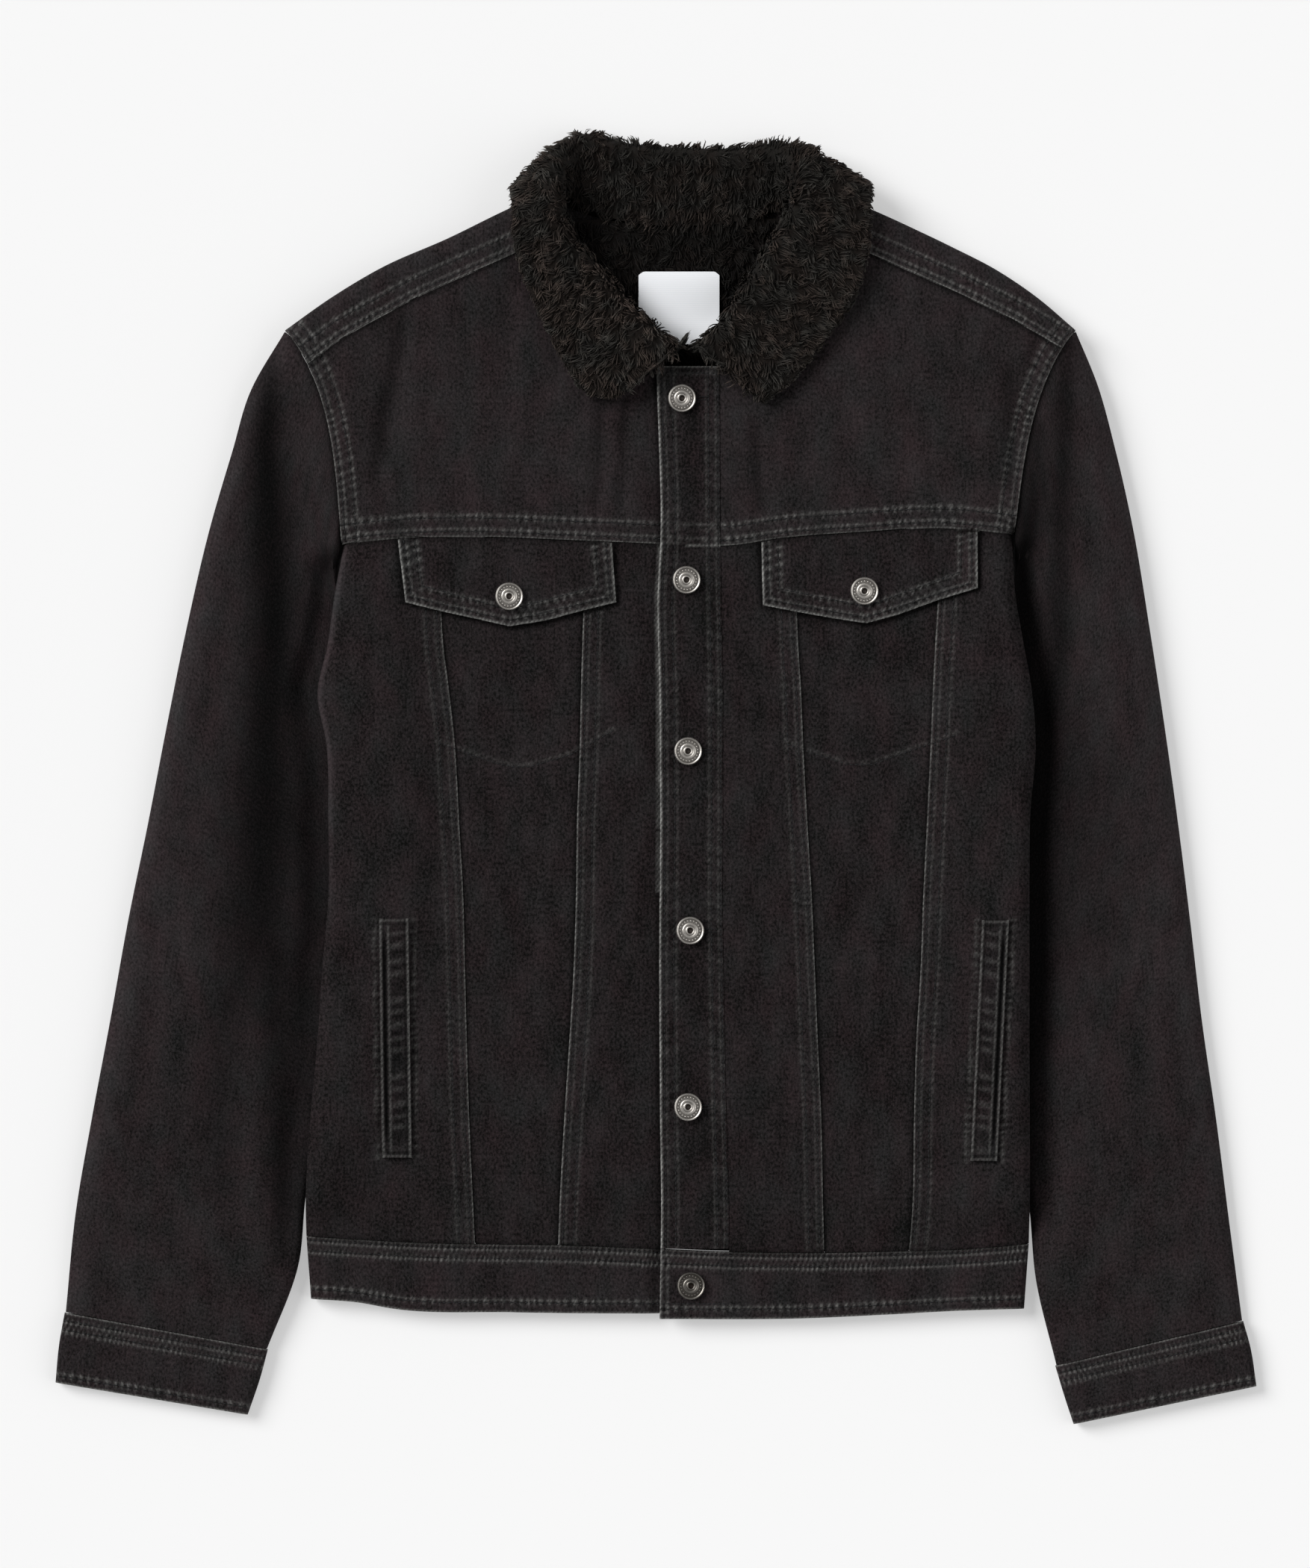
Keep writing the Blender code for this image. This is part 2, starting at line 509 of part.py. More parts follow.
def side_panel(side, seam, sign):
    """A side panel: from its front seam, round the side fold, to the side seam behind."""
    fold = body_line("fold_" + side, NOMINAL_Y)
    width = (body_line(seam, NOMINAL_Y) - sign * SEAM - fold) * sign
    columns = [(width * share + FOLD_RADIUS * (1 - share), 1) for share in (1.0, 0.8, 0.6, 0.4, 0.2, 0.0)]
    for angle, level in ((55, 1), (25, 1), (0, 1), (25, -1), (55, -1), (90, -1)):
        columns.append((np.full(len(fold), FOLD_RADIUS * (1 - math.cos(math.radians(angle)))), level))
    columns.append((np.full(len(fold), SIDE_SEAM), -1))
    outer = []
    inner = []
    for d, level in columns:
        x = fold + sign * d
        y = lower_rows(x)
        low, middle, high = body_levels(x, y)
        if level > 0:
            z = middle + (high + relief(x, y) + PANEL_RISE - middle) * rounding(d)
        else:
            z = middle + (low - middle) * rounding(d)
        outer.append(np.stack([x, y, z], -1))
        inner_x = fold + sign * np.maximum(d, BODY_WALL)
        inner_y = lower_rows(inner_x)
        inner_z = body_levels(inner_x, inner_y)[1] + level * SLIT * np.minimum(d / BODY_WALL, 1)
        inner.append(np.stack([inner_x, inner_y, inner_z], -1))
    outer = np.stack(outer, 1)
    inner = np.stack(inner, 1)
    wall(f"front_side_{side}", outer.reshape(-1, 3), inner.reshape(-1, 3), grid_faces(*outer.shape[:2]), DENIM)


def back_panel():
    """The back below its yoke, from side seam to side seam."""
    left = body_line("fold_left", NOMINAL_Y) + SIDE_SEAM + 2 * SEAM
    right = body_line("fold_right", NOMINAL_Y) - SIDE_SEAM - 2 * SEAM
    shares = np.array([0, 0.05, 0.1, 0.15, 0.22, 0.36, 0.5, 0.64, 0.78, 0.85, 0.9, 0.95, 1])
    x = left[:, None] + (right - left)[:, None] * shares
    top = back_seam(x) - SEAM
    y = top + (waist_seam(x) + SEAM - top) * ROWS[:, None]
    low, middle, high = body_levels(x, y)
    outer = np.stack([x, y, low], -1).reshape(-1, 3)
    inner = np.stack([x, y, middle - SLIT], -1).reshape(-1, 3)
    wall("back_panel", outer, inner, grid_faces(*x.shape), DENIM)


def armhole(side, share, gap=0.0):
    """Plan points of an armhole seam; share 0 at the shoulder fold, 1 at the armpit."""
    table = SLEEVE_LEFT if side == "left" else SLEEVE_RIGHT
    top = table[0, 1:3]
    pit = table[0, 3:5]
    bow = ARMHOLE_BOW[side] * np.sin(math.pi * share**0.7)
    x = top[0] + (pit[0] - top[0]) * share + bow + gap
    y = top[1] + (pit[1] - top[1]) * share
    return x, y


def patch(bottom, top, start, end, columns, rows):
    """Coons patch between four edges; bottom and top run start to end, the sides run upwards."""
    u = columns[None, :, None]
    v = rows[:, None, None]
    across = (1 - v) * bottom[None] + v * top[None]
    along = (1 - u) * start[:, None] + u * end[:, None]
    low = (1 - u) * bottom[0] + u * bottom[-1]
    high = (1 - u) * top[0] + u * top[-1]
    return across + along - (1 - v) * low - v * high


def spread(points, shares):
    """Points at shares of the length of a smooth path through the given points."""
    points = np.asarray(points, float)
    steps = np.linalg.norm(np.diff(points, axis=0), axis=1)
    length = np.concatenate([[0], np.cumsum(steps)]) / steps.sum()
    return np.stack([smooth_curve(np.stack([length, points[:, i]], -1), shares) for i in (0, 1)], -1)


def front_yoke(side):
    """A front yoke between the yoke seam, armhole, shoulder seam, neckline and button edge."""
    left = side == "left"
    sign = 1 if left else -1
    shares = RING[RING >= SHOULDER_PART[side]][::-1]
    rows = (1 - shares) / (1 - SHOULDER_PART[side])
    columns = YOKE_COLUMNS
    start = np.stack(armhole(side, shares, sign * SEAM), -1)
    line = "edge" if left else "stitch"
    gap = FRONT_TUCK if left else SEAM
    centre = float(body_line(line, CENTRE_YOKE_Y)) + gap
    x = start[0, 0] + (centre - start[0, 0]) * columns
    bottom = np.stack([x, yoke_seam(x) + SEAM], -1)
    start[0] = bottom[0]
    seam = (SHOULDER_SEAM_LEFT if left else SHOULDER_SEAM_RIGHT[::-1]).copy()
    seam[0] = start[-1]
    top = spread(seam, columns)
    top[:, 1] -= SEAM
    start[-1] = top[0]
    neck = (NECKLINE_LEFT if left else NECKLINE_RIGHT)[::-1]
    split = rows[6]
    low = rows <= split
    edge_y = bottom[-1, 1] + (neck[0, 1] - bottom[-1, 1]) * rows[low] / split
    edge_x = body_line(line, edge_y) + gap
    corner = np.array([[edge_x[-1], neck[0, 1]]])
    upper = spread(np.vstack([corner, neck[1:]]), (rows[~low] - split) / (1 - split))
    end = np.vstack([np.stack([edge_x, edge_y], -1), upper])
    end[-1] = top[-1]
    plan = patch(bottom, top, start, end, columns, rows)
    panel(f"front_yoke_{side}", plan[..., 0], plan[..., 1], PANEL_RISE)


def back_neckline(x):
    """y of the back neckline, from neck point to neck point."""
    left, right = SHOULDER_FOLD_LEFT[-1], SHOULDER_FOLD_RIGHT[0]
    t = np.clip((x - left[0]) / (right[0] - left[0]), 0, 1)
    edge = left[1] + (right[1] - left[1]) * t
    return edge - (edge - BACK_NECK_DEPTH) * np.sin(math.pi * t) ** 0.45


SHOULDER_COLUMNS = len(YOKE_COLUMNS)  # of the back yoke's grid, on each shoulder
NECK_COLUMNS = 9  # of the same grid, between the neck points
LINING_ROWS = slice(5, None)  # rows of the same grid that the neck lining takes up
LINING_SHORT = 21.0  # how far the lining stops short of the neck points


def back_yoke_plan():
    """Plan of the back yoke on the floor: columns across, rows from its seam up."""
    rows = 1 - RING[::-1]
    left_neck, right_neck = SHOULDER_FOLD_LEFT[-1, 0], SHOULDER_FOLD_RIGHT[0, 0]
    start = np.stack(armhole("left", RING[::-1], SEAM), -1)
    end = np.stack(armhole("right", RING[::-1], -SEAM), -1)
    top_x = np.concatenate([
        start[-1, 0] + (left_neck - start[-1, 0]) * YOKE_COLUMNS,
        np.linspace(left_neck, right_neck, NECK_COLUMNS + 2)[1:-1],
        (end[-1, 0] + (right_neck - end[-1, 0]) * YOKE_COLUMNS)[::-1],
    ])
    fold = np.where(
        top_x < NECK_MIDDLE, smooth_curve(SHOULDER_FOLD_LEFT, top_x), smooth_curve(SHOULDER_FOLD_RIGHT, top_x)
    )
    in_neck = (top_x > left_neck + 0.01) & (top_x < right_neck - 0.01)
    top = np.stack([top_x, np.where(in_neck, back_neckline(top_x), fold)], -1)
    share = (top_x - top_x[0]) / (top_x[-1] - top_x[0])
    low_x = start[0, 0] + (end[0, 0] - start[0, 0]) * share
    bottom = np.stack([low_x, back_seam(low_x) + SEAM], -1)
    start[0], start[-1] = bottom[0], top[0]
    end[0], end[-1] = bottom[-1], top[-1]
    return patch(bottom, top, start, end, share, rows)


def back_yoke():
    """The back yoke: flat under the body, round the shoulder folds, up to the shoulder seams."""
    plan = back_yoke_plan()
    x, y = plan[..., 0], plan[..., 1]
    low, middle, high = body_levels(x, y)
    distance = shoulder_distance(x, y)
    share = np.clip(distance / BODY_WALL, 0, 1)
    slit = middle - SLIT * share
    inner_z = slit + (np.minimum(low + YOKE_DENIM, slit) - slit) * share
    inner_x, inner_y = x.copy(), y.copy()
    for c in range(x.shape[1]):
        near = distance[:, c] < BODY_WALL
        inner_x[near, c] = np.interp(BODY_WALL, distance[::-1, c], x[::-1, c])
        inner_y[near, c] = np.interp(BODY_WALL, distance[::-1, c], y[::-1, c])
    outer = np.stack([x, y, body_under(x, y)], -1).reshape(-1, 3)
    inner = np.stack([inner_x, inner_y, inner_z], -1).reshape(-1, 3)
    faces = grid_faces(*x.shape)
    columns = x.shape[1]
    last = (x.shape[0] - 1) * columns
    for side, first in (("left", 0), ("right", columns - SHOULDER_COLUMNS)):
        left = side == "left"
        sign = 1 if left else -1
        end = 0 if left else -1
        fold = outer[last + first:last + first + SHOULDER_COLUMNS]
        seam = (SHOULDER_SEAM_LEFT if left else SHOULDER_SEAM_RIGHT).copy()
        seam[end] = armhole(side, SHOULDER_PART[side], sign * SEAM)
        target = spread(seam, YOKE_COLUMNS if left else 1 - YOKE_COLUMNS[::-1])
        target[:, 1] += SEAM
        previous = np.arange(last + first, last + first + SHOULDER_COLUMNS)
        ring_shares = RING[(RING > 0) & (RING <= SHOULDER_PART[side])]
        wall_share = BODY_WALL / shoulder_distance(target[:, 0], target[:, 1])
        tip = fold[:, :2] + (target - fold[:, :2]) * wall_share[:, None]
        tip[end] = armhole(side, SHOULDER_PART[side] * wall_share[end], sign * SEAM)
        for ring_share in ring_shares:
            step = ring_share / SHOULDER_PART[side]
            place = fold[:, :2] + (target - fold[:, :2]) * step
            if step < 1:
                place[end] = armhole(side, ring_share, sign * SEAM)
            px, py = place[:, 0], place[:, 1]
            middle = body_levels(px, py)[1]
            level = middle + SLIT * min(step * 2, 1.0)
            deep = np.where((shoulder_distance(px, py) < BODY_WALL)[:, None], tip, place)
            current = len(outer) + np.arange(SHOULDER_COLUMNS)
            outer = np.vstack([outer, np.stack([px, py, body_top(px, py) + PANEL_RISE * step], -1)])
            inner = np.vstack([inner, np.stack([deep[:, 0], deep[:, 1], level], -1)])
            for c in range(SHOULDER_COLUMNS - 1):
                faces.append((previous[c], previous[c + 1], current[c + 1], current[c]))
            previous = current
    wall("back_yoke", outer, inner, faces, DENIM)


def neck_lining():
    """The pile lining on the back yoke; it shows in the neck."""
    plan = back_yoke_plan()[LINING_ROWS, SHOULDER_COLUMNS - 1:SHOULDER_COLUMNS + NECK_COLUMNS + 1].copy()
    row_step = np.linspace(-4, 0, len(plan))
    for c, short in ((0, LINING_SHORT), (1, LINING_SHORT / 4), (-2, LINING_SHORT / 4), (-1, LINING_SHORT)):
        plan[:, c, 1] = np.minimum(plan[:, c, 1], plan[-1, c, 1] - short + row_step)
    x, y = plan[..., 0], plan[..., 1]
    low, middle, high = body_levels(x, y)
    outer = np.stack([x, y, middle - SLIT - REST], -1).reshape(-1, 3)
    inner = np.stack([x, y, low + YOKE_DENIM + REST], -1).reshape(-1, 3)
    wall("neck_lining", outer, inner, grid_faces(*x.shape), SHERPA)


def placket_strip(name, left_gap, right_gap, top_y, level, thickness=None):
    """A strip up the centre front from the waistband to the collar, down to the slit if no thickness."""
    above = np.linspace(top_y, YOKE_LEVEL + 7, 5)
    rows = np.concatenate([above, YOKE_LEVEL + (PLACKET_END - YOKE_LEVEL) * ROWS[1:]])
    shares = np.linspace(0, 1, 4)
    x0 = body_line("edge", rows) + left_gap
    x1 = body_line("stitch", rows) - right_gap
    x = x0[:, None] + (x1 - x0)[:, None] * shares
    y = np.repeat(rows[:, None], len(shares), 1)
    top = body_top(x, y) + level
    under = top - thickness if thickness else body_levels(x, y)[1] + SLIT
    outer = np.stack([x, y, top], -1).reshape(-1, 3)
    inner = np.stack([x, y, under], -1).reshape(-1, 3)
    wall(name, outer, inner, grid_faces(*x.shape), DENIM)


def flap(side, table):
    """A pointed pocket flap lying on the panels below the yoke seam."""
    rows = np.array([0, 0.2, 0.4, 0.65, 1.0])
    plan = table[None, :, :2] + (table[None, :, 2:] - table[None, :, :2]) * rows[:, None, None]
    plan[0, :, 1] = yoke_seam(plan[0, :, 0]) - 0.6
    x, y = plan[..., 0], plan[..., 1]
    under = body_top(x, y) + front_rise(x, y) + PANEL_RISE + REST + LOOSE
    outer = np.stack([x, y, under + FLAP_WALL], -1).reshape(-1, 3)
    inner = np.stack([x, y, under], -1).reshape(-1, 3)
    wall(f"flap_{side}", outer, inner, grid_faces(*x.shape), DENIM)


def welt(side):
    """The welt beside a slant hand pocket's slit."""
    (left, right, top), (low_left, low_right, bottom) = WELT[side]
    t = np.linspace(0, 1, 7)[:, None]
    s = np.linspace(0, 1, 3)[None, :]
    x = (left + (right - left) * s) * (1 - t) + (low_left + (low_right - low_left) * s) * t
    y = top + (bottom - top) * t + 0 * s
    under = body_top(x, y) + PANEL_RISE + REST + LOOSE
    outer = np.stack([x, y, under + WELT_WALL], -1).reshape(-1, 3)
    inner = np.stack([x, y, under], -1).reshape(-1, 3)
    wall(f"welt_{side}", outer, inner, grid_faces(*x.shape), DENIM)


def waistband():
    """One strip round the hem, open where its ends lap at the centre front."""
    rows = np.array([0, 0.45, 1.0])
    outer = []
    inner = []
    for row in rows:
        y_nominal = BAND_TOP - BAND_DEPTH * row
        fold_left = float(body_line("fold_left", y_nominal)) + BAND_TAPER[0] * row
        fold_right = float(body_line("fold_right", y_nominal)) - BAND_TAPER[1] * row
        radius = BAND_RADIUS
        stitch = float(body_line("stitch", BAND_TOP)) - 1.0
        edge = float(body_line("edge", y_nominal))
        turn = [radius * (1 - math.cos(math.radians(a))) for a in (60, 30, 0)]
        path = [(x, 1, "left") for x in np.linspace(stitch, fold_left + radius, 9)]
        path += [(fold_left + d, 1, "left") for d in turn]
        path += [(fold_left + d, -1, "left") for d in turn[1::-1]]
        path += [(x, -1, "back") for x in np.linspace(fold_left + radius, fold_right - radius, 12)]
        path += [(fold_right - d, -1, "right") for d in turn]
        path += [(fold_right - d, 1, "right") for d in turn[1::-1]]
        path += [(x, 1, "right") for x in np.linspace(fold_right - radius, edge, 9)]
        points = []
        linings = []
        for x, level, part in path:
            left_hem = float(smooth_curve(HEM_LEFT, x))
            right_hem = float(smooth_curve(HEM_RIGHT, x))
            back_hem = left_hem + (right_hem - left_hem) * float(ease(x / 60))
            hem = {"left": left_hem, "right": right_hem, "back": back_hem}[part]
            top = float(waist_seam(x)) - SEAM
            y = top + (hem - top) * row
            d = max(min(x - fold_left, fold_right - x), 0.0)
            half = (float(smooth_curve(BODY_THICKNESS, y)) - BAND_INSET) / 2
            lap = 0.0
            if part == "left" and level > 0:
                lap = -BAND_LAP * float(ease((x - edge + 10) / 10))
            if part == "right" and level > 0:
                lap = BAND_LAP_RISE * float(ease((stitch + BAND_LAP_RUN - x) / BAND_LAP_RUN))
            z = half + level * half * float(rounding(d, radius)) + lap
            points.append((x, y, z))
            deep = max(d, BAND_WALL)
            inner_x = fold_left + deep if x < 0 else fold_right - deep
            if d >= BAND_WALL:
                inner_x = x
            thick = BAND_WALL * 0.9
            inner_z = z - level * thick if d >= radius else half + level * (half - thick) * min(d / radius, 1)
            linings.append((inner_x, y, inner_z))
        outer.append(points)
        inner.append(linings)
    outer = np.array(outer)
    inner = np.array(inner)
    wall("waistband", outer.reshape(-1, 3), inner.reshape(-1, 3), grid_faces(*outer.shape[:2]), DENIM)


def tube_place(table, side, part, share, bowed):
    """Plan place of a point of a flattened tube, on its chord from fold to fold; bowed at an armhole."""
    outer_x, outer_y, inner_x, inner_y = (float(smooth_curve(table[:, (0, k)], part)) for k in (1, 2, 3, 4))
    x = outer_x + (inner_x - outer_x) * share
    if bowed:
        sign = 1 if side == "left" else -1
        bow = ARMHOLE_BOW[side] * math.sin(math.pi * share**0.7) - sign * SEAM
        x += bow * float(ease(1 - part / BOWED_PART))
    return np.array([x, outer_y + (inner_y - outer_y) * share])


def tube_height(side, x, y, thickness):
    """Thickness of a sleeve at a place: less where the body lies on it."""
    sign = 1 if side == "left" else -1
    fold = float(body_line("fold_" + side, min(y, BODY[1, 0])))
    tuck = float(ease(((x - fold) * sign + TUCK_START) / TUCK_RUN))
    tuck *= float(ease((armpit_y(side) - y) / TUCK_TOP_RUN)) * float(ease((y - TUCK_END) / TUCK_END_RUN))
    return thickness + (min(UNDER_ARM, thickness) - thickness) * tuck


def flat_tube(name, table, side, parts, wall_thickness, radius, bowed):
    """A flattened tube of cloth: a ring of points at each part of its length."""
    rows_outer = []
    rows_inner = []
    for part in parts:
        thickness = float(smooth_curve(table[:, (0, 5)], part))
        first = tube_place(table, side, part, 0.0, bowed)
        last = tube_place(table, side, part, 1.0, bowed)
        width = float(np.linalg.norm(last - first))
        row_way = (last - first) / width
        slants = []
        insides = []
        for share, edge in ((0.0, first), (1.0, last)):
            way = tube_place(table, side, min(part + 0.02, 1), share, bowed)
            way = way - tube_place(table, side, max(part - 0.02, 0), share, bowed)
            square = np.array([-way[1], way[0]]) / np.linalg.norm(way)
            square *= np.sign(square @ row_way) * (1 - 2 * share)
            slants.append(max(abs(square @ row_way), 0.4))
            depth = wall_thickness / width / slants[-1]
            along_row = tube_place(table, side, part, depth if share == 0.0 else 1 - depth, bowed)
            turn = share * min(part / 0.1, 1.0)
            insides.append(along_row * (1 - turn) + (edge + square * wall_thickness) * turn)
        ring = [(share, 1) for share in RING] + [(share, -1) for share in RING[-2:0:-1]]
        points = []
        linings = []
        for share, level in ring:
            x, y = tube_place(table, side, part, share, bowed)
            d = min(share * width * slants[0], (1 - share) * width * slants[1])
            height = tube_height(side, x, y, thickness)
            crease = float(relief(np.array(x), np.array(y))) if level > 0 and height > thickness - 2 else 0.0
            points.append((x, y, height / 2 + (level * height / 2 + crease) * float(rounding(d, radius))))
            deep = np.array([x, y])
            if d < wall_thickness:
                deep = insides[0] if share < 0.5 else insides[1]
            half = tube_height(side, deep[0], deep[1], thickness) / 2
            linings.append((deep[0], deep[1], half + level * SLIT * min(d / wall_thickness, 1.0)))
        rows_outer.append(points)
        rows_inner.append(linings)
    outer = np.array(rows_outer)
    inner = np.array(rows_inner)
    rows, columns = outer.shape[:2]
    wall(name, outer.reshape(-1, 3), inner.reshape(-1, 3), grid_faces(rows, columns, ring=True), DENIM)


def collar_section(seam, rise, roll, turn, fall, edge):
    """Path across the collar: the stand, an elliptic arc over the roll, and the fall."""
    centre = (rise + turn) / 2
    path = [seam, (seam + rise) / 2, rise]
    for angle in (45, 90, 135):
        a = math.radians(angle)
        path.append(centre + (rise - centre) * math.cos(a) + (roll - centre) * math.sin(a))
    path.append(turn)
    for t in (0.3, 0.65):
        path.append(turn * (1 - t) * (1 - 2 * t) + fall * 4 * t * (1 - t) + edge * t * (2 * t - 1))
    path.append(edge)
    return path


def collar():
    """The sherpa collar: each section's path, made a wall thick, and joined round the neck."""
    heights = COLLAR_HEIGHT + COLLAR_HEIGHT[-2::-1]
    control = np.array([
        [(row[2 * i], row[2 * i + 1], height[i]) for i in range(len(COLLAR_POINTS))]
        for row, height in zip(COLLAR, heights)
    ])
    sections = np.arange(len(control), dtype=float)
    along = np.linspace(0, len(control) - 1, 2 * len(control) - 1)
    flat = control.reshape(len(control), -1)
    finer = np.stack([smooth_curve(np.stack([sections, column], -1), along) for column in flat.T], -1)
    middle = np.array([collar_section(*row) for row in finer.reshape(len(along), -1, 3)])
    across = np.gradient(middle, axis=1)
    round_neck = np.gradient(middle, axis=0)
    normal = np.cross(across, round_neck)
    normal /= np.linalg.norm(normal, axis=2, keepdims=True)
    outer = (middle + normal * COLLAR_HALF_WALL).reshape(-1, 3)
    inner = (middle - normal * COLLAR_HALF_WALL).reshape(-1, 3)
    for side in (outer, inner):
        side[:, 2] = np.maximum(side[:, 2], 0.0)
    wall("collar", outer, inner, grid_faces(*middle.shape[:2]), SHERPA)


def neck_label():
    """A blank woven label lying on the lining."""
    left, right, bottom, top = LABEL
    x, y = np.meshgrid(np.linspace(left, right, 3), np.linspace(bottom, top, 4))
    low, middle, high = body_levels(x, y)
    under = middle - SLIT + LABEL_LIFT
    outer = np.stack([x, y, under + LABEL_WALL], -1).reshape(-1, 3)
    inner = np.stack([x, y, under], -1).reshape(-1, 3)
    wall("neck_label", outer, inner, grid_faces(*x.shape), LABEL_CLOTH)


def button(name, x, y, level):
    """A shank button: a foot, a cap with a raised rim and a dimple, turned about its axis."""
    radius = BUTTON_DIAMETER / 2
    vertices = [(x, y, level)]
    for share, height in BUTTON_PROFILE[1:-1]:
        for k in range(BUTTON_SIDES):
            angle = 2 * math.pi * k / BUTTON_SIDES
            side_x = x + radius * share * math.cos(angle)
            side_y = y + radius * share * math.sin(angle)
            vertices.append((side_x, side_y, level + BUTTON_HEIGHT * height))
    vertices.append((x, y, level + BUTTON_HEIGHT * BUTTON_PROFILE[-1][1]))
    faces = grid_faces(len(BUTTON_PROFILE) - 2, BUTTON_SIDES, ring=True, start=1)
    last = 1 + (len(BUTTON_PROFILE) - 3) * BUTTON_SIDES
    for k in range(BUTTON_SIDES):
        following = (k + 1) % BUTTON_SIDES
        faces.append((0, 1 + following, 1 + k))
        faces.append((len(vertices) - 1, last + k, last + following))
    make_object(name, np.array(vertices), faces, METAL, soft_angle=40.0)


def buttons():
    reach = BUTTON_DIAMETER / 2 * BUTTON_PROFILE[2][0]
    for name, (x, y) in BUTTONS.items():
        ring = np.linspace(0, 2 * math.pi, 12, endpoint=False)
        near_x = x + reach * np.cos(ring)
        near_y = y + reach * np.sin(ring)
        if name == "button_waist":
            level = float(smooth_curve(BODY_THICKNESS, y)) - BAND_INSET + BAND_LAP_RISE
        else:
            level = float(body_top(near_x, near_y).max())
            level += PANEL_RISE + REST + LOOSE + FLAP_WALL if "flap" in name else PLACKET_RISE
        button(name, x, y, level + REST)


for thing in list(bpy.data.objects):
    bpy.data.objects.remove(thing, do_unlink=True)

for side in ("left", "right"):
    front_yoke(side)
side_panel("left", "seam_a", 1)
side_panel("right", "seam_d", -1)
lower_panels()
placket_strip("placket", 0.0, SEAM, 250.3, PLACKET_RISE, PLACKET_WALL)
placket_strip("button_stand", STAND_LEFT, STAND_RIGHT, 249.5, -STAND_DROP)
flap("left", FLAP_LEFT)
flap("right", FLAP_RIGHT)
welt("left")
welt("right")
back_panel()
back_yoke()
neck_lining()
neck_label()
waistband()
flat_tube("sleeve_left", SLEEVE_LEFT, "left", SLEEVE_PARTS, SLEEVE_WALL, SLEEVE_RADIUS, True)
flat_tube("sleeve_right", SLEEVE_RIGHT, "right", SLEEVE_PARTS, SLEEVE_WALL, SLEEVE_RADIUS, True)
flat_tube("cuff_left", CUFF_LEFT, "left", CUFF_PARTS, BAND_WALL, CUFF_RADIUS, False)
flat_tube("cuff_right", CUFF_RIGHT, "right", CUFF_PARTS, BAND_WALL, CUFF_RADIUS, False)
collar()
buttons()
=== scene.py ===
"""Looks of the sherpa lined trucker jacket: buttoned, laid flat on its back, arms down.

Frame: +Z up from the floor, +Y towards the collar. Tables and sizes are in millimetres, left
and right are as seen from above, and each section makes one piece or group of the jacket.
"""

import math

import bpy
import numpy as np
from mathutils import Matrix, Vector
from mathutils.bvhtree import BVHTree


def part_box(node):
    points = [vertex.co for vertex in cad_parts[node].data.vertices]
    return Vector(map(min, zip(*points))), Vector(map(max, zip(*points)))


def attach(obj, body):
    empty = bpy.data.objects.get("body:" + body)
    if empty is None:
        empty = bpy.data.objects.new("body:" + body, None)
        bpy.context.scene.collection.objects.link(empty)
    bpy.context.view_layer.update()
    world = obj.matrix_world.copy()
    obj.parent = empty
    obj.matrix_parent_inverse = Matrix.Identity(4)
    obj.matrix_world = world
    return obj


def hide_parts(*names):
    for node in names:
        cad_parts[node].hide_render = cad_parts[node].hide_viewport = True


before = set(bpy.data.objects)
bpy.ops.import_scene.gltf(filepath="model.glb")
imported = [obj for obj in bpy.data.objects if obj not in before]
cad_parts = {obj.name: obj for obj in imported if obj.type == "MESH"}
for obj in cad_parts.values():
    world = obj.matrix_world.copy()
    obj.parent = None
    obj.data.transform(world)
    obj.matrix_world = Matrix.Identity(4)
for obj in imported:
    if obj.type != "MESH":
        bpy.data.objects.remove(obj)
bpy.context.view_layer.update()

MM = 0.001

# ---------------------------------------------------------------- Studio
# The jacket lies on a pale table that glows a little, so its shadows stay faint, and is seen
# straight from above through a long lens. A soft light from the upper left models the cloth, a
# weaker one from the right fills it, and the pale room lights the rest.
FLOOR_SEEN = 0.9555  # metres of floor along the picture's long side
CAMERA_HEIGHT = 8.0
CLOTH_LEVEL = 0.015
FLOOR_DROP = 0.0004
scene = bpy.context.scene


def deselect():
    """Leaves nothing selected."""
    for item in bpy.context.selected_objects:
        item.select_set(False)


deselect()
camera_data = bpy.data.cameras.new("camera")
camera_data.sensor_width = 36.0
camera_data.lens = 36.0 * CAMERA_HEIGHT / FLOOR_SEEN
camera_data.clip_start = 0.5
camera_data.clip_end = 60.0
camera = bpy.data.objects.new("camera", camera_data)
camera.location = (-0.0005, -0.0041, CAMERA_HEIGHT + CLOTH_LEVEL)
scene.collection.objects.link(camera)
scene.camera = camera
scene.view_settings.view_transform = "Standard"

for name, energy, angle, direction in (
    ("key light", 3.3, 32, (-0.72, 0.40, 0.60)),
    ("fill light", 1.1, 60, (0.84, -0.05, 0.42)),
):
    light = bpy.data.lights.new(name, "SUN")
    light.energy = energy
    light.angle = math.radians(angle)
    lamp = bpy.data.objects.new(name, light)
    lamp.rotation_euler = Vector(direction).to_track_quat("Z", "Y").to_euler()
    scene.collection.objects.link(lamp)
room = bpy.data.worlds.new("room")
room.use_nodes = True
room.node_tree.nodes["Background"].inputs["Color"].default_value = (1.0, 1.0, 1.0, 1.0)
room.node_tree.nodes["Background"].inputs["Strength"].default_value = 0.30
scene.world = room


def linear(hex_colour):
    """A linear RGBA from an sRGB hex value."""
    channels = [int(hex_colour[i:i + 2], 16) / 255 for i in (1, 3, 5)]
    return [c / 12.92 if c <= 0.04045 else ((c + 0.055) / 1.055) ** 2.4 for c in channels] + [1.0]


